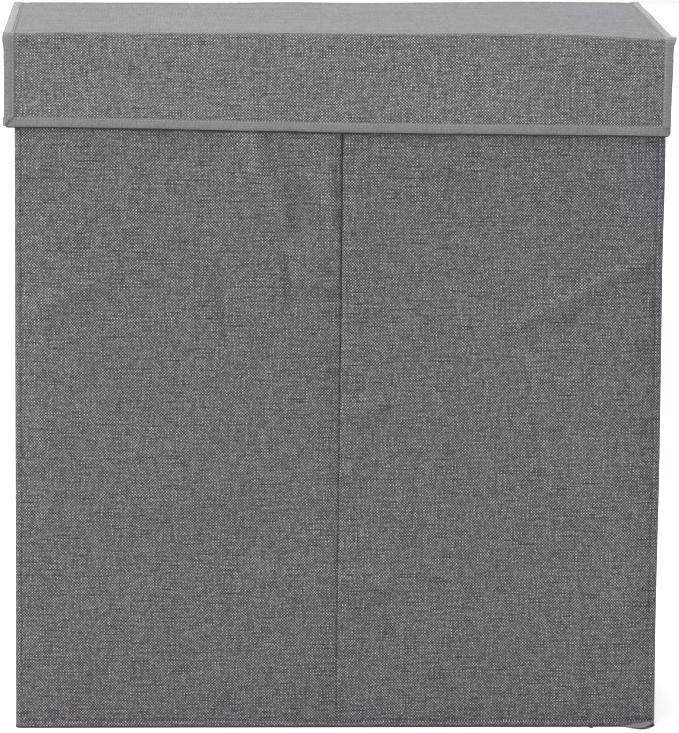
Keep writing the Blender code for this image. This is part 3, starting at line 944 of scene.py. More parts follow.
def base_cloth():
    """The sewn bottom: a sheet with a narrow turned-up edge all round."""
    radius, corner = TURNED_UP_RADIUS, CORNER_RADIUS
    profile = [(0.0, TRAY_TOP), (0.0, radius)]                  # (in from the edge, height)
    profile += [(radius * (1 - math.cos(a)), radius * (1 - math.sin(a))) for a in quarter_turn(6)]
    profile += [(radius + 0.004, 0.0), (0.014, 0.0)]
    outline = foot_outline()
    middle = Vector((0, MIDDLE_Y))

    def place(i, k):
        centre, way = outline[i]
        inset, z = profile[k]
        plan = centre + way * (corner - min(inset, corner))
        plan = plan + (middle - plan) * min(1.0, max(0.0, inset - corner) / FOOT_REACH)
        return Vector((plan.x, plan.y, z + 0.00005))

    rows, columns = list(range(len(profile))), list(range(len(outline)))
    around = running_lengths([place(i, 0) for i in columns])
    drop = running_lengths([place(0, k) for k in rows])
    edge = Patch(columns[::-1], rows, place, lambda i, k: (around[i], TRAY_TOP - drop[k]))
    half_x, half_y = SIDE - 0.010, BODY_DEPTH / 2 - 0.010
    bottom = Patch(
        spread(-half_x, half_x, 0.03), spread(MIDDLE_Y + half_y, MIDDLE_Y - half_y, 0.03),
        lambda x, y: Vector((x, y, 0.00012)), lambda x, y: (x, y))
    piece = mesh_piece("base_cloth", [edge, bottom], "weave", THIN_CLOTH)
    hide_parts("base_skin")
    flatten_with_base(piece)


def flatten_with_base(piece):
    """The piece rides on the back wall, with a mesh of its own."""
    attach(piece, "back_wall")
    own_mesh(piece)


def bottom_seam_and_shadow_line():
    """The dark corded seam that runs round the bottom edge, near-black so that it also paints the shadow line
    where the body meets the floor.
    """
    route = [(centre + way * (CORNER_RADIUS - 0.0006), way) for centre, way in foot_outline()]

    def place(i, k):
        plan, way = route[i]
        across, up = CORD_RING[k]
        plan = plan + way * CORD_RADIUS * across
        return Vector((plan.x, plan.y, CORD_RADIUS + CORD_RADIUS * up))

    def chart(i, k):
        plan = route[i][0]
        return (plan.x + plan.y, k * 0.0007)

    cord = Patch(list(range(len(route))), list(range(len(CORD_RING))), place, chart)
    flatten_with_base(mesh_piece("bottom_seam_and_shadow_line", [cord], "dark_thread_and_shadow"))


def loose_corner():
    """A bit of the bottom's cloth that slips out under the right front corner, and a loose end of thread."""
    start, end, reach = 0.251, SIDE - 0.0025, 0.012

    def place(s, t):
        bulge = math.sin(math.pi * s ** 1.5) ** 0.8 if 0 < s < 1 else 0.0
        x = start + (end - start) * s
        rise = 0.0030 * smooth((s - 0.60) / 0.40)
        curl = 0.0026 * (1 - t) ** 2 + 0.0010 * t * t
        y = FRONT + 0.0010 - (0.0012 + reach * bulge) * t
        return Vector((x, y, 0.0004 + curl * bulge + rise * (1 - 0.4 * t)))

    columns, rows = spread(0, 1, 1 / 24), spread(0, 1, 1 / 8)
    shape = Patch(columns, rows, place, lambda s, t: (s * (end - start), t * reach))
    flatten_with_base(mesh_piece("base_corner_lip", [shape], "tape", THIN_CLOTH))
    tail = [Vector((0.2205 + 0.0008 * k, FRONT - 0.0010 - 0.0009 * k, 0.0009 - 0.0001 * k)) for k in range(7)]
    run = [(point, UP) for point in tail]
    flatten_with_base(stitch_mesh("base_thread_tail", [run], "dark_thread_and_shadow", 0.0068, 0.0060, 0.0006))


# ---------------------------------------------------------------- lid

LID_EDGE = 0.0022
LID_SIDE_DROOP = {-1: (0.0006, 0.05), 1: (0.0042, 0.11)}        # depth and reach at each end
TOPSTITCH_Z = LID_TOP - 0.0078
COVER_HALF = LID_HALF - 0.0012
LID_SAG = 0.0015            # of the top between its edges
LID_WAVE, LID_BILLOW = 0.0008, 0.0007       # of the front and of the sides
HEM_TILT = 0.0087           # the hem's slope from left to right


def lid_shape(point):
    """How the soft lid lies: its front corners droop, its top sags, and its faces wave a little."""
    x, y, z = point
    hinged = BACK - 0.06
    forward = smooth((hinged - y) / (hinged - FRONT))
    drop = 0.0
    for sign, (depth, reach) in LID_SIDE_DROOP.items():
        drop += depth * smooth((sign * x - (LID_HALF - reach)) / reach) * forward
    top = smooth((z - (LID_TOP - 0.02)) / 0.02)
    inside = bump(x, LID_HALF) * bump(y - MIDDLE_Y, BODY_DEPTH / 2)
    sag = LID_SAG * inside + 0.0005 * (1 + ripple(x, y, 20, 0.12)) * (0.3 + 0.7 * inside)
    rear = smooth((y - (BACK - 0.05)) / 0.05)
    lift = (0.0013 * ripple(x, 0.0, 21, 0.09) + 0.0014 * smooth((x + 0.02) / 0.2)) * rear
    down = smooth((LID_TOP - z) / (LID_TOP - HEM))
    hem_line = (0.0019 - (HEM_TILT * x + 0.0020 * smooth((x + 0.25) / 0.28)) * forward) * down
    front = smooth((FRONT + 0.01 - y) / 0.01)
    wave = LID_WAVE * ripple(x, z * 0.6, 22, 0.09) * front * smooth((LID_TOP - z) / 0.03)
    side = smooth((abs(x) - (LID_HALF - 0.02)) / 0.02)
    lean = (0.0012 if x < 0 else -0.0012 * down) * side * forward
    billow = LID_BILLOW * ripple(y, z * 0.6, 23, 0.08) * side * smooth((LID_TOP - z) / 0.03)
    sign = -1 if x < 0 else 1
    front_half = smooth((-0.05 - y) / 0.11)
    return Vector((
        x + sign * (lean + billow),
        y - wave + 0.0024 * down * front_half,
        z - drop * (1 - down) - (sag - lift) * top + hem_line,
    ))


def lid_piece(name, patches, material, thickness, node=None):
    """A piece that follows the soft lid's shape and rides on the lid."""
    shaped = [Patch(p.across, p.along, lambda s, t, p=p: lid_shape(p.place(s, t)), p.chart) for p in patches]
    piece = mesh_piece(name, shaped, material, thickness)
    return stand_in(piece, node, "lid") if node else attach(piece, "lid")


def top_and_front(front, top, hem, radius, rear):
    """The lid's section, from its rear edge over the top and down the front, as (y, z, length)."""
    points = [(y, top) for y in spread(rear, front + radius, STEP)]
    for angle in quarter_turn(8, 1, 7):
        points.append((front + radius * (1 - math.sin(angle)), top - radius * (1 - math.cos(angle))))
    points += [(front, z) for z in spread(top - radius, hem, STEP)]
    line, gone = [(*points[0], 0.0)], 0.0
    for (y0, z0), (y, z) in zip(points, points[1:]):
        gone += math.hypot(y - y0, z - z0)
        line.append((y, z, gone))
    return line


def lid_top_and_front():
    """The lid's woven sheet over the top and the front. Gives the piece and its cut size."""
    line = top_and_front(LID_FRONT, LID_TOP, HEM + 0.0010, LID_EDGE, LID_REAR)

    def place(x, k):
        y, z, _ = line[k]
        groove = 0.0010 * bump(z - TOPSTITCH_Z, 0.0020) if y < LID_FRONT + 0.001 else 0.0
        return Vector((x, y + groove, z))

    columns, rows = spread(COVER_HALF, -COVER_HALF, STEP), list(range(len(line)))
    cover = Patch(columns, rows, place, lambda x, k: (x, -line[k][2] + 0.0003))
    piece = lid_piece("lid_cover_cloth", [cover], "lid_weave", SKIN, "lid_cover")
    return piece, (2 * COVER_HALF, line[-1][2])


def topstitching():
    """The stitches in the groove under the lid's front edge."""
    run = []
    for x in spread(-COVER_HALF + 0.012, COVER_HALF - 0.012, STEP):
        run.append((lid_shape(Vector((x, LID_FRONT + 0.0008, TOPSTITCH_Z))), AHEAD))
    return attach(stitch_mesh("lid_top_stitches", [run], "dark_thread_and_shadow", 0.0028, 0.0036), "lid")


def lid_sides():
    """The woven panel at each end of the lid."""
    rows = spread(LID_TOP - 0.0005, HEM + 0.0010, STEP)
    depths = spread(LID_FRONT + 0.0008, LID_REAR - 0.0008, STEP)
    for side, sign in SIDES:
        panel = Patch(
            ordered(depths, sign < 0), rows,
            lambda y, z, sign=sign: Vector((sign * LID_HALF, y, z)), lambda y, z: (y + 0.0005, z - 1.0))
        piece = lid_piece(f"lid_{side}_side_cloth", [panel], "lid_weave", SKIN, f"lid_{side}_cover")


def lid_covers():
    """All of the lid's woven cloth."""
    cover, cut = lid_top_and_front()
    lid_sides()
    topstitching()


def lid_lining():
    """The lining under the top and behind the skirts."""
    line = top_and_front(LID_INNER_FRONT, LID_INNER_TOP, HEM + 0.004, 0.003, LID_REAR - 0.002)
    line = [(LID_REAR - 0.0014, LID_TOP - SKIN, -0.003)] + line         # closes the lid's rear edge
    half = LID_INNER_HALF - 0.0005
    patches = [Patch(
        spread(-half, half, COARSE_STEP), list(range(len(line))),
        lambda x, k: Vector((x, line[k][0], line[k][1])), lambda x, k: (x, line[k][2]))]
    depths = spread(LID_INNER_FRONT + 0.001, LID_REAR - 0.002, COARSE_STEP)
    rows = spread(LID_INNER_TOP - 0.001, HEM + 0.004, COARSE_STEP)
    for _, sign in SIDES:
        patches.append(Patch(
            ordered(depths, sign > 0), rows,
            lambda y, z, sign=sign: Vector((sign * LID_INNER_HALF, y, z)), lambda y, z: (y, z)))
    piece = lid_piece("lid_lining_cloth", patches, "lining", LINING, "lid_lining")


def box_patches(lowest, highest, step):
    """Six grids over a box."""
    (x0, y0, z0), (x1, y1, z1) = lowest, highest
    xs, ys, zs = spread(x0, x1, step), spread(y0, y1, step), spread(z0, z1, step)
    faces = (
        (xs, ys, lambda s, t: Vector((s, t, z1))), (xs[::-1], ys, lambda s, t: Vector((s, t, z0))),
        (xs, zs, lambda s, t: Vector((s, y0, t))), (xs[::-1], zs, lambda s, t: Vector((s, y1, t))),
        (ys, zs, lambda s, t: Vector((x1, s, t))), (ys[::-1], zs, lambda s, t: Vector((x0, s, t))),
    )
    return [Patch(across, along, place, lambda s, t: (s, t)) for across, along, place in faces]


def lid_boards():
    """The lid's boards, which bend with its cloth."""
    for name in ("top", "front", "left", "right"):
        node = f"lid_{name}_board"
        lowest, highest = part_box(node)
        highest.y = min(highest.y, LID_REAR - 0.005)
        lid_piece(f"lid_{name}_stiffener", box_patches(lowest, highest, 0.012), "cardboard", 0.0, node)


HEM_TAPE = 0.0088
SEAM_TAPE = {-1: 0.0079, 1: 0.0071}
PROUD = 0.0010              # how far a tape stands out from the cloth
HEM_TURN = 0.0030
TAPE_EDGE = 0.0012
TAPE_STITCH_INSET = 0.0016


def skirt_edge(sign, top):
    """Half of the skirt's free edge: down the rear edge, along the side and round the front corner."""
    side_x, side_way = sign * LID_HALF, Vector((sign, 0, 0))
    route = [(Vector((side_x, LID_REAR, z)), side_way, AHEAD) for z in spread(top, HEM + 0.0005, STEP)[:-1]]
    for angle in quarter_turn(4, 0):
        up = Vector((0, -math.cos(angle), math.sin(angle)))
        route.append((Vector((side_x, LID_REAR, HEM)), side_way, up))
    for y in spread(LID_REAR, LID_FRONT + HEM_TURN, STEP)[1:]:
        route.append((Vector((side_x, y, HEM)), side_way, UP))
    centre = Vector((sign * (LID_HALF - HEM_TURN), LID_FRONT + HEM_TURN, HEM))
    for angle in quarter_turn(6, 1, 5):
        out = Vector((sign * math.cos(angle), -math.sin(angle), 0))
        route.append((centre + out * HEM_TURN, out, UP))
    return route


def hem_route():
    """The skirt's free edge: each rear edge and the hem, as (point, outward, towards the cloth)."""
    top = LID_TOP - max(SEAM_TAPE.values())
    half = LID_HALF - HEM_TURN
    front = [(Vector((x, LID_FRONT, HEM)), AHEAD, UP) for x in spread(-half, half, STEP)]
    return skirt_edge(-1, top) + front + skirt_edge(1, top)[::-1]


def tape_profile(width, depth):
    """A folded tape's section: (out from the cloth's outer face, in from the free edge)."""
    r, back = TAPE_EDGE, -depth - PROUD
    return [
        (PROUD * 0.4, width), (PROUD, width - 0.0006), (PROUD * 0.4, width - TAPE_STITCH_INSET),
        (PROUD * 1.1, width - 0.0027), (PROUD, width * 0.5), (PROUD, r),
        (PROUD - 0.3 * r, 0.3 * r), (PROUD - r, 0.0), (-depth / 2, -0.0001), (back + r, 0.0),
        (back + 0.3 * r, 0.3 * r), (back, r), (back, width * 0.5),
        (back, width - 0.0008), (-depth - PROUD * 0.7, width),
    ]


def lid_hem():
    """The binding folded over the skirt's free edge, with its stitches, and a near-black cord tucked under it
    as a painted shadow line below the hem.
    """
    depth = LID_HALF - LID_INNER_HALF + 0.0006
    route = hem_route()
    profile = tape_profile(HEM_TAPE, depth)
    gone = running_lengths([point for point, _, _ in route])

    def place(i, k):
        point, out, up = route[i]
        away, in_from = profile[k]
        waver = 0.0004 * ripple(gone[i], 0.0, 30, 0.04)
        return point + out * (away + 0.0003 * ripple(gone[i], k * 0.1, 31, 0.03)) + up * (in_from + waver)

    columns, rows = list(range(len(route)))[::-1], list(range(len(profile)))
    patch = Patch(columns, rows, place, lambda i, k: (gone[i], k * 0.002))
    lid_piece("lid_hem_binding", [patch], "tape", TAPE * 0.8, "lid_hem_tape")
    runs = []
    for away, facing in ((PROUD * 0.55, 1), (-depth - PROUD, -1)):
        runs.append([
            (lid_shape(point + out * away + up * (HEM_TAPE - TAPE_STITCH_INSET)), out * facing)
            for point, out, up in route
        ])
    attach(stitch_mesh("lid_hem_stitches", runs), "lid")
    # painted shadow: a near-black cord tucked just under the hem, standing for the dark shadow line below it
    hem_only = [entry for entry in route if entry[0].z < HEM + 0.0001 and entry[0].y < LID_REAR - 0.004]

    def shadow_cord_place(i, k):
        point, out, up = hem_only[i]
        across, over = CORD_RING[k]
        return point + out * (CORD_RADIUS * across - 0.0016) + up * (CORD_RADIUS * over - 0.0004)

    columns, rows = list(range(len(hem_only))), list(range(len(CORD_RING)))
    cord = Patch(columns, rows, shadow_cord_place, lambda i, k: (i * STEP, k * 0.0006))
    lid_piece("lid_hem_shadow_cord", [cord], "dark_thread_and_shadow", 0.0)


EAR = {-1: 0.0012, 1: 0.0026}       # the binding sticks out like an ear below the lid's front corner
EAR_DROP = 0.006
SEAM_TURN = 0.003


def seam_route(sign):
    """A side panel's edge, up the front corner and back along the top, as (point, the two legs' ways)."""
    x, side_way, turn = sign * LID_HALF, Vector((sign, 0, 0)), SEAM_TURN
    start = HEM + (0.0004 if sign < 0 else HEM_TAPE - 0.0012)      # on the right the hem's tape passes over
    over_hem, above = spread(start, HEM + HEM_TAPE, 0.0012), spread(HEM + HEM_TAPE, LID_TOP - turn, 0.003)
    route = [(Vector((x, LID_FRONT, z)), AHEAD, side_way) for z in over_hem[:-1] + above]
    for angle in quarter_turn(7, 1, 6):
        out = Vector((0, -math.cos(angle), math.sin(angle)))
        route.append((Vector((x, LID_FRONT + turn, LID_TOP - turn)) + out * turn, out, side_way))
    along, rear = spread(LID_FRONT + turn, LID_REAR - 0.006, STEP), spread(LID_REAR - 0.006, LID_REAR, 0.0015)
    for y in along + rear[1:]:
        dip = 0.0016 * smooth((y - LID_REAR + 0.006) / 0.006) ** 2
        route.append((Vector((x, y, LID_TOP - dip)), UP, side_way))
    return route


def seam_profile(width):
    """A corner tape's section: (leg, in from the edge along it, out from it). Leg 2 is the fold between."""
    fold = 0.7 * TAPE_EDGE
    return [
        (0, width, PROUD * 0.3), (0, width - 0.0006, PROUD), (0, width - TAPE_STITCH_INSET, PROUD * 0.4),
        (0, width - 0.0027, PROUD * 1.2), (0, width * 0.5, PROUD * 1.25),
        (0, width * 0.3, PROUD * 1.1), (0, 0.0, PROUD), (2, fold, fold),
        (1, 0.0, PROUD), (1, width * 0.3, PROUD), (1, width * 0.6, PROUD * 1.1),
        (1, width - 0.0008, PROUD), (1, width, PROUD * 0.5),
    ]


def lid_seam(side, sign):
    """The binding round a side panel. One leg lies on the front and the top, the other on the side."""
    route = seam_route(sign)
    gone = running_lengths([point for point, _, _ in route])
    corner, width = LID_TOP - HEM, SEAM_TAPE[sign]
    profile = seam_profile(width)

    def place(k, i):
        point, face, side_way = route[i]
        leg, inward, out = profile[k]
        if point.z < HEM + HEM_TAPE:        # mitred where it laps over the hem's binding
            inward *= (point.z - HEM) / HEM_TAPE
            out += 0.0007
        ear = EAR[sign] * bump(gone[i] - corner + EAR_DROP, 0.011)
        ear += 0.0003 * ripple(gone[i], 0.0, 40 + sign, 0.03)
        if leg == 2:
            return point + face * (out + ear * 0.3) + side_way * (inward + ear)
        inward_way, out_way = (-side_way, face) if leg == 0 else (-face, side_way)
        return point + inward_way * inward + out_way * out + side_way * ear * (1 - inward / width)

    columns, rows = ordered(range(len(profile)), sign > 0), list(range(len(route)))
    patch = Patch(columns, rows, place, lambda k, i: (gone[i], k * 0.0016))
    lid_piece(f"lid_{side}_seam_binding", [patch], "tape", TAPE * 0.8, f"lid_{side}_seam_tape")
    on_front, on_side, on_top = [], [], []
    inset = width - TAPE_STITCH_INSET
    for point, face, side_way in route:
        if point.z >= HEM + HEM_TAPE:
            leg = on_top if face.z > 0.99 else on_front
            leg.append((lid_shape(point - side_way * inset + face * PROUD * 0.55), face))
            on_side.append((lid_shape(point - face * inset + side_way * PROUD * 1.02), side_way))
    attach(stitch_mesh(f"lid_{side}_seam_stitches", [on_front, on_side]), "lid")
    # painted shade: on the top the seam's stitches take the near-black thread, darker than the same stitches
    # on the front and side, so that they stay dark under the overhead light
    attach(stitch_mesh(f"lid_{side}_top_seam_shaded_stitches", [on_top], "dark_thread_and_shadow", 0.0030, 0.0034), "lid")


def hinge_cloth():
    """The cloth hinge, sewn to the back wall below the rim and running up and over to the lid's rear edge."""
    joint = next(j for j in frame["joints"] if j["name"] == "lid_hinge")
    axis_y, axis_z = joint["pos_m"][1:]
    bottom = low("lid_hinge_strip").z
    face, top, radius = BACK + 0.0012, LID_TOP + 0.0004, 0.0030
    line = [(face, z) for z in spread(bottom, top - radius, 0.003)]
    for angle in quarter_turn(6):
        line.append((face - radius * (1 - math.cos(angle)), top - radius * (1 - math.sin(angle))))
    line += [(face - radius - d, top - 0.0001 - d * 0.05) for d in (0.001, 0.003, 0.005)]
    half = PANEL_HALF - 0.001
    columns = spread(half, -half, 0.006)

    def place(x, k):
        y, z = line[k]
        point = Vector((x, y, z))
        return lid_shape(point) if y < axis_y - 0.0005 and z > axis_z - 0.002 else point

    patch = Patch(columns, list(range(len(line))), place, lambda x, k: (x, k * 0.003))
    piece = mesh_piece("lid_hinge_cloth", [patch], "weave", THIN_CLOTH)
    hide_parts("lid_hinge_strip")
    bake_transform(piece)


# ---------------------------------------------------------------- insides


def divider():
    """The cloth wall between the two compartments, a little slack."""
    lowest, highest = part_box("divider")
    ys, zs = spread(lowest.y, highest.y, COARSE_STEP), spread(lowest.z, highest.z, COARSE_STEP)

    def place(y, z):
        free = smooth((y - lowest.y) / 0.06) * smooth((highest.y - y) / 0.06)
        slack = 0.0030 * ripple(y, z * 0.4, 50, 0.10) + 0.0008 * ripple(y, z, 51, 0.03)
        top_dip = 0.005 * free * smooth((z - highest.z + 0.1) / 0.1)
        return Vector((slack * free * 0.8, y, z - top_dip))

    patch = Patch(ys, zs, place, lambda y, z: (y, z))
    piece = mesh_piece("divider_cloth", [patch], "lining", 0.0008)
    piece.modifiers["thickness"].offset = 0
    stand_in(piece, "divider", "back_wall")
    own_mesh(piece)


def rounded_outline(half_x, half_y, radius, count):
    """Points round a rounded rectangle, evenly spaced, with their outward ways."""
    straight = [2 * (half_x - radius), 2 * (half_y - radius)]
    arc = math.pi / 2 * radius
    total = 2 * sum(straight) + 4 * arc
    points = []
    for k in range(count + 1):
        d = total * (k % count) / count
        for side in range(4):
            length, turned_by = straight[side % 2], side * math.pi / 2
            way = Vector((math.cos(turned_by), math.sin(turned_by)))
            out = Vector((way.y, -way.x))
            half_along, half_out = (half_x, half_y) if side % 2 == 0 else (half_y, half_x)
            start = -way * (half_along - radius) + out * half_out
            if d <= length:
                points.append((start + way * d, out))
                break
            d -= length
            if d <= arc:
                angle = d / radius
                centre = way * (half_along - radius) + out * (half_out - radius)
                turned = out * math.cos(angle) + way * math.sin(angle)
                points.append((centre + turned * radius, turned))
                break
            d -= arc
        else:
            points.append(points[0])
    return points


LINER_COLUMNS = 160
LINER_HEM = 0.028
LINER_FOOT = 0.03           # the radius at which a liner's side turns into its bottom
LINER_REACH = 0.14          # about half a liner's width, over which its foot draws in
FLOOR_LEVELS = 9


def round_noise(around, across, z, seed):
    """Noise on a loop, with about across folds round it and no break where it closes."""
    return noise.noise(Vector((math.cos(around) * across, math.sin(around) * across, z + seed)))


def liner_sag(around, z, seed):
    """How far the liner's cloth hangs in from its outline, before its folds fade out."""
    long_folds = 0.5 + 0.5 * round_noise(around, 6, z * 3.5, seed)
    creases = round_noise(around, 14, z * 16, seed)
    slanted = noise.noise(Vector((around * 5 + z * 22, z * 9 - around * 3, seed)))
    soft_step = 1 - abs(round_noise(around, 9, z * 7, seed))
    return 0.0075 * long_folds + 0.0022 * creases + 0.0020 * slanted + 0.0022 * soft_step ** 4


def liner_levels(top, bottom):
    """The heights of a liner's rings, from its upper edge to where it turns into its bottom."""
    levels = [top, top - 0.002] + spread(top - 0.006, top - LINER_HEM, 0.0055)
    return levels + spread(top - LINER_HEM - 0.005, bottom + LINER_FOOT, 0.010)


def liner(side, sign):
    """The removable laundry bag: a lofted shell that sags between its top hem and the base."""
    lowest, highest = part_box(f"{side}_liner")
    centre, half = (lowest + highest) / 2, (highest - lowest) / 2
    hem, foot = LINER_HEM, LINER_FOOT
    top, bottom = highest.z, lowest.z + 0.0012
    levels = liner_levels(top, bottom)
    top_line = rounded_outline(half.x, half.y, 0.012, LINER_COLUMNS)
    low_line = rounded_outline(half.x - 0.004, half.y - 0.004, 0.030, LINER_COLUMNS)
    seed = 60 + sign

    def ring_point(i, z):
        share = smooth((top - z) / 0.12)
        (a, way_a), (b, way_b) = top_line[i], low_line[i]
        plan, way = a.lerp(b, share), way_a.lerp(way_b, share).normalized()
        pull = liner_sag(i / LINER_COLUMNS * 2 * math.pi, z, seed) * smooth((top - hem - z) / 0.08)
        hem_bulge = 0.0007 * bump(z - (top - hem / 2), hem / 2) if z > top - hem else 0.0
        return plan - way * (max(0.0, pull) - hem_bulge + 0.0012)

    def place(i, k):
        if k < len(levels):
            z = levels[k]
            plan = ring_point(i, z)
            z -= 0.0016 * (1 + noise.noise(Vector((i * 0.2, seed, 0)))) * smooth((z - (top - hem)) / hem)
            return Vector((centre.x + plan.x, centre.y + plan.y, z))
        turn = (k - len(levels) + 1) / FLOOR_LEVELS
        if turn <= 0.5:
            angle = math.pi * turn
            plan = ring_point(i, bottom + foot) * (1 - foot * (1 - math.cos(angle)) / LINER_REACH)
            z = bottom + foot * (1 - math.sin(angle))
        else:
            share = (turn - 0.5) * 2
            plan = ring_point(i, bottom + foot) * (1 - foot / LINER_REACH) * (1 - share * 0.995)
            z = bottom + 0.0012 * (1 + ripple(plan.x, plan.y, seed, 0.04)) * share
        return Vector((centre.x + plan.x, centre.y + plan.y, z))

    rows = list(range(len(levels) + FLOOR_LEVELS))
    perimeter = 4 * (half.x + half.y)

    def chart(i, k):
        z = levels[k] if k < len(levels) else bottom - (k - len(levels)) * 0.018
        return (i / LINER_COLUMNS * perimeter, z)

    patch = Patch(list(range(LINER_COLUMNS + 1))[::-1], rows, place, chart)
    piece = mesh_piece(f"{side}_liner_bag", [patch], "liner_cloth", 0.0005)
    stand_in(piece, f"{side}_liner", "back_wall")
    hem_run = []
    for plan in [ring_point(i, top - hem + 0.002) for i in range(LINER_COLUMNS + 1)]:
        inward = Vector((-plan.x, -plan.y, 0)).normalized()
        point = Vector((centre.x + plan.x, centre.y + plan.y, top - hem + 0.001))
        hem_run.append((point + inward * 0.0006, inward))
    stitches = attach(stitch_mesh(f"{side}_liner_hem_stitches", [hem_run]), "back_wall")
    return [piece, stitches]


STRAP_WIDTH = 0.025
STRAP_STEP = 0.006
STRAP_SWING = 0.010         # how far its bow hangs off the liner
STRAP_COLUMNS = (-0.5, -0.46, -0.3, -0.1, 0.1, 0.3, 0.46, 0.5)      # shares of the width
# The stitched box and its cross: (share of the width, down from the strap's end)
STRAP_BOX = (
    (-0.38, 0.004), (0.38, 0.004), (0.38, 0.022), (-0.38, 0.022), (-0.38, 0.004),
    (0.38, 0.022), (0.38, 0.004), (-0.38, 0.022),
)


def strap_route(lowest, highest):
    """A strap's U: down, round and up again, as (point of its middle line, way across it)."""
    middle_x = (lowest.x + highest.x) / 2
    radius = (highest.x - lowest.x) / 2 - STRAP_WIDTH / 2
    end_z, turn_z = highest.z - 0.002, lowest.z + radius + STRAP_WIDTH / 2
    falling, rising = spread(end_z, turn_z, STRAP_STEP), spread(turn_z, end_z, STRAP_STEP)
    route = [(Vector((middle_x - radius, 0, z)), Vector((1, 0, 0))) for z in falling]
    for k in range(1, 24):
        angle = math.pi * k / 24
        way = Vector((math.cos(angle), 0, math.sin(angle)))
        point = Vector((middle_x - radius * math.cos(angle), 0, turn_z - radius * math.sin(angle)))
        route.append((point, way))
    return route + [(Vector((middle_x + radius, 0, z)), Vector((-1, 0, 0))) for z in rising]


def strap(name, node, inward):
    """A carrying handle: a flat strap that hangs in a U, sewn on with a crossed box at each end."""
    lowest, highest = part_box(node)
    y, width = (lowest.y + highest.y) / 2, STRAP_WIDTH
    route = strap_route(lowest, highest)
    last = len(route) - 1

    def swing(i):
        return STRAP_SWING * smooth(math.sin(math.pi * i / last))

    def place(k, i):
        point, across = route[i]
        share = STRAP_COLUMNS[k]
        crown = 0.0004 * (1 - (2 * share) ** 2)
        return point + across * share * width + Vector((0, y + inward * (swing(i) + crown + 0.0022), 0))

    columns = ordered(range(len(STRAP_COLUMNS)), inward > 0)
    patch = Patch(columns, list(range(len(route))), place, lambda k, i: (STRAP_COLUMNS[k] * width, i * 0.006))
    piece = stand_in(mesh_piece(name, [patch], "webbing", 0.0012), node, "back_wall")

    def spot(end, share, down):
        step = 1 if end == 0 else -1
        part = down / STRAP_STEP - int(down / STRAP_STEP)
        at = end + step * int(down / STRAP_STEP)
        point = route[at][0].lerp(route[at + step][0], part) + route[at][1] * share * width
        return point + Vector((0, y + inward * (swing(at + step * part) + 0.0026), 0))

    lines = []
    for end in (0, last):
        for (share_a, down_a), (share_b, down_b) in zip(STRAP_BOX, STRAP_BOX[1:]):
            line = []
            for k in range(5):
                share, down = share_a + (share_b - share_a) * k / 4, down_a + (down_b - down_a) * k / 4
                line.append((spot(end, share, down), Vector((0, inward, 0))))
            lines.append(line)
    return [piece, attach(stitch_mesh(name + "_stitches", lines), "back_wall")]


def soft_insides():
    """The divider, the liners and their handles, riding on the back wall, each with a mesh of its own."""
    divider()
    for side, sign in SIDES:
        pieces = liner(side, sign)
        for end, inward in (("front", 1), ("rear", -1)):
            pieces += strap(f"{side}_liner_{end}_strap", f"{side}_liner_{end}_handle", inward)
        for piece in pieces:
            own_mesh(piece)


HOOK_STITCH_INSET = 0.0016


def hook_tape(place_name, way, body):
    """A strip of hook tape on a wall's lining, sewn on all round. way is 1 when it faces back."""
    node = place_name + "_hook_tape"
    lowest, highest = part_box(node)
    face = highest.y if way > 0 else lowest.y
    columns, rows = spread(lowest.x, highest.x, 0.006), spread(lowest.z, highest.z, 0.004)

    def place(x, z):
        edge = min(x - lowest.x, highest.x - x, z - lowest.z, highest.z - z)
        return Vector((x, face - way * 0.0006 * (1 - smooth(edge / 0.003)), z))

    patch = Patch(ordered(columns, way < 0), rows, place, lambda x, z: (x, z))
    stand_in(mesh_piece(place_name + "_hook_strip", [patch], "hook_tape", THIN_CLOTH), node, body)
    (left, right), (bottom, top) = [
        (start + HOOK_STITCH_INSET, end - HOOK_STITCH_INSET)
        for start, end in ((lowest.x, highest.x), (lowest.z, highest.z))
    ]
    round_way = ((left, bottom), (right, bottom), (right, top), (left, top), (left, bottom))
    corners = [(Vector((x, face + way * 0.0001, z)), Vector((0, way, 0))) for x, z in round_way]
    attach(stitch_mesh(place_name + "_hook_stitches", list(zip(corners, corners[1:]))), body)


def hook_tapes():
    """The four strips that hold the liners."""
    for end, way in (("front", 1), ("back", -1)):
        for side, _ in SIDES:
            hook_tape(f"{end}_{side}", way, end + "_wall")


COVER_EDGE = (0.0, 0.0008, 0.0016, 0.0025)      # finer rows where the cover rolls over the board's edge


def base_cover(side):
    """The lining over a base board, rolled over its edges. Gives the piece and its cut size."""
    node = f"{side}_base_cover"
    lowest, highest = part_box(node)
    reach = COVER_EDGE[-1]

    def place(x, y):
        edge = min(x - lowest.x, highest.x - x, y - lowest.y, highest.y - y)
        roll = 0.0020 * (1 - smooth(edge / reach)) if edge < reach else 0.0
        return Vector((x, y, highest.z - roll))

    def marks(a, b):
        inner = spread(a + reach, b - reach, COARSE_STEP)[1:-1]
        return [a + edge for edge in COVER_EDGE] + inner + [b - edge for edge in COVER_EDGE[::-1]]

    patch = Patch(marks(lowest.x, highest.x), marks(lowest.y, highest.y), place, lambda x, y: (x, y))
    cover = mesh_piece(f"{side}_base_cover_cloth", [patch], "lining", 0.0005)
    return stand_in(cover, node, f"{side}_base"), (highest.x - lowest.x, highest.y - lowest.y)


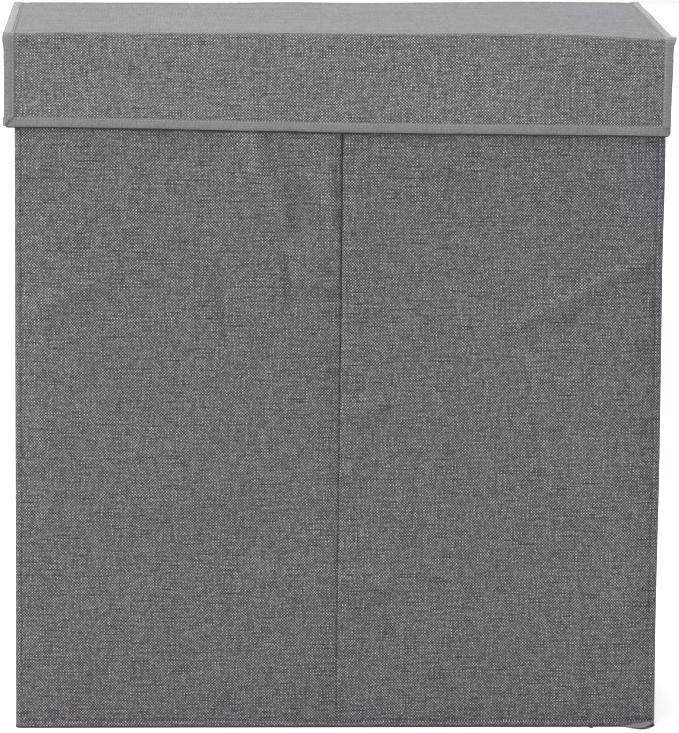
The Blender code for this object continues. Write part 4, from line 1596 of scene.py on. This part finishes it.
def base_pull(side):
    """The pull tab sewn across the cover, and its stitches."""
    node = f"{side}_base_tab"
    lowest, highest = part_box(node)

    def place(x, y):
        along = (x - lowest.x) / (highest.x - lowest.x)
        arch = 0.0004 * math.sin(math.pi * along) ** 2
        crown = 0.0002 * (1 - abs(2 * (y - lowest.y) / (highest.y - lowest.y) - 1) ** 3)
        return Vector((x, y, highest.z + arch + crown))

    columns, rows = spread(lowest.x, highest.x, 0.004), spread(lowest.y, highest.y, 0.002)
    patch = Patch(columns, rows, place, lambda x, y: (y, x))
    piece = stand_in(mesh_piece(f"{side}_base_pull", [patch], "webbing", 0.0008), node, f"{side}_base")
    sewn = spread(lowest.y + 0.003, highest.y - 0.003, 0.004)
    runs = [[(place(x, y), UP) for y in sewn] for x in (lowest.x + 0.004, highest.x - 0.004)]
    stitches = stitch_mesh(f"{side}_base_pull_stitches", runs, width=THREAD * 0.6)
    return [piece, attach(stitches, f"{side}_base")]


def base_inserts():
    """The covered base boards, with their pull tabs."""
    for side, _ in SIDES:
        cover, cut = base_cover(side)
        base_pull(side)


def carried_over_boards():
    """The boards inside the walls and the base keep their CAD shape and get the board material."""
    for name, obj in frame["nodes"].items():
        if name.endswith("_board") and not name.startswith("lid_"):
            obj.data.materials.clear()
            obj.data.materials.append(MATERIALS["cardboard"])


# ---------------------------------------------------------------- studio


def floor():
    """One large sheet under and far behind the hamper."""
    mesh = bpy.data.meshes.new("floor")
    mesh.from_pydata([(-40, -12, 0), (40, -12, 0), (40, 60, 0), (-40, 60, 0)], [], [(0, 1, 2, 3)])
    obj = bpy.data.objects.new("floor", mesh)
    obj.location.z = -0.0002
    bpy.context.scene.collection.objects.link(obj)
    mesh.materials.append(floor_material())


def area_light(name, place, target, size, power):
    """A rectangular lamp at a place, turned to a target."""
    light = bpy.data.lights.new(name, "AREA")
    light.shape = "RECTANGLE"
    light.size, light.size_y = size
    light.energy = power
    obj = bpy.data.objects.new(name, light)
    obj.location = place
    obj.rotation_euler = (Vector(target) - Vector(place)).to_track_quat("-Z", "Y").to_euler()
    bpy.context.scene.collection.objects.link(obj)


def lighting():
    """Soft light from above, and a key from the far left that grazes the front, so that its folds show."""
    world = bpy.data.worlds.new("studio")
    world.use_nodes = True
    world.node_tree.nodes["Background"].inputs["Color"].default_value = (1, 1, 1, 1)
    world.node_tree.nodes["Background"].inputs["Strength"].default_value = 0.19
    bpy.context.scene.world = world
    area_light("overhead", (0.0, -0.50, 2.2), (0, -0.2, 0.3), (2.2, 1.2), 60)
    area_light("backdrop", (0.0, 4.8, 2.4), (0.0, 4.8, 0.0), (3.0, 7.0), 230)
    area_light("top", (0.0, 0.9, 2.4), (0, 0.3, 0.3), (2.6, 1.4), 36)
    area_light("key", (-3.4, -2.6, 2.6), (0, -0.1, 0.40), (1.2, 1.2), 205)
    area_light("fill", (1.6, -2.1, 0.95), (0.1, 0, 0.3), (1.0, 1.0), 7)


CAMERA_AIM = Vector((0.0074, 0.0, 0.2956))
CAMERA_DISTANCE = 4.831
CAMERA_AZIMUTH = 2.159
CAMERA_PITCH = 8.185
CAMERA_ROLL = 0.337
CAMERA_LENS = 264.6


def camera():
    """The camera at a low view of the front, turned a little to the right."""
    data = bpy.data.cameras.new("camera")
    data.sensor_width = 36.0
    data.lens = CAMERA_LENS
    data.clip_start, data.clip_end = 0.1, 200.0
    azimuth, pitch, roll = (math.radians(a) for a in (CAMERA_AZIMUTH, CAMERA_PITCH, CAMERA_ROLL))
    level = Vector((math.sin(azimuth), math.cos(azimuth), 0))
    ahead = level * math.cos(pitch) - UP * math.sin(pitch)
    right = ahead.cross(UP).normalized()
    up = right.cross(ahead)
    right, up = right * math.cos(roll) + up * math.sin(roll), up * math.cos(roll) - right * math.sin(roll)
    turn = Matrix((right, up, -ahead)).transposed()
    obj = bpy.data.objects.new("camera", data)
    obj.matrix_world = Matrix.Translation(CAMERA_AIM - ahead * CAMERA_DISTANCE) @ turn.to_4x4()
    bpy.context.scene.collection.objects.link(obj)
    bpy.context.scene.camera = obj
    bpy.context.scene.view_settings.view_transform = "Standard"
    bpy.context.scene.cycles.denoising_prefilter = "NONE"       # keeps the fine weave sharp


camera()
lighting()
floor()
carried_over_boards()
wall_panels()
wall_joints()
seam_thread()
base_cloth()
bottom_seam_and_shadow_line()
loose_corner()
lid_covers()
lid_lining()
lid_boards()
lid_hem()
for side, sign in SIDES:
    lid_seam(side, sign)
hinge_cloth()
soft_insides()
hook_tapes()
base_inserts()
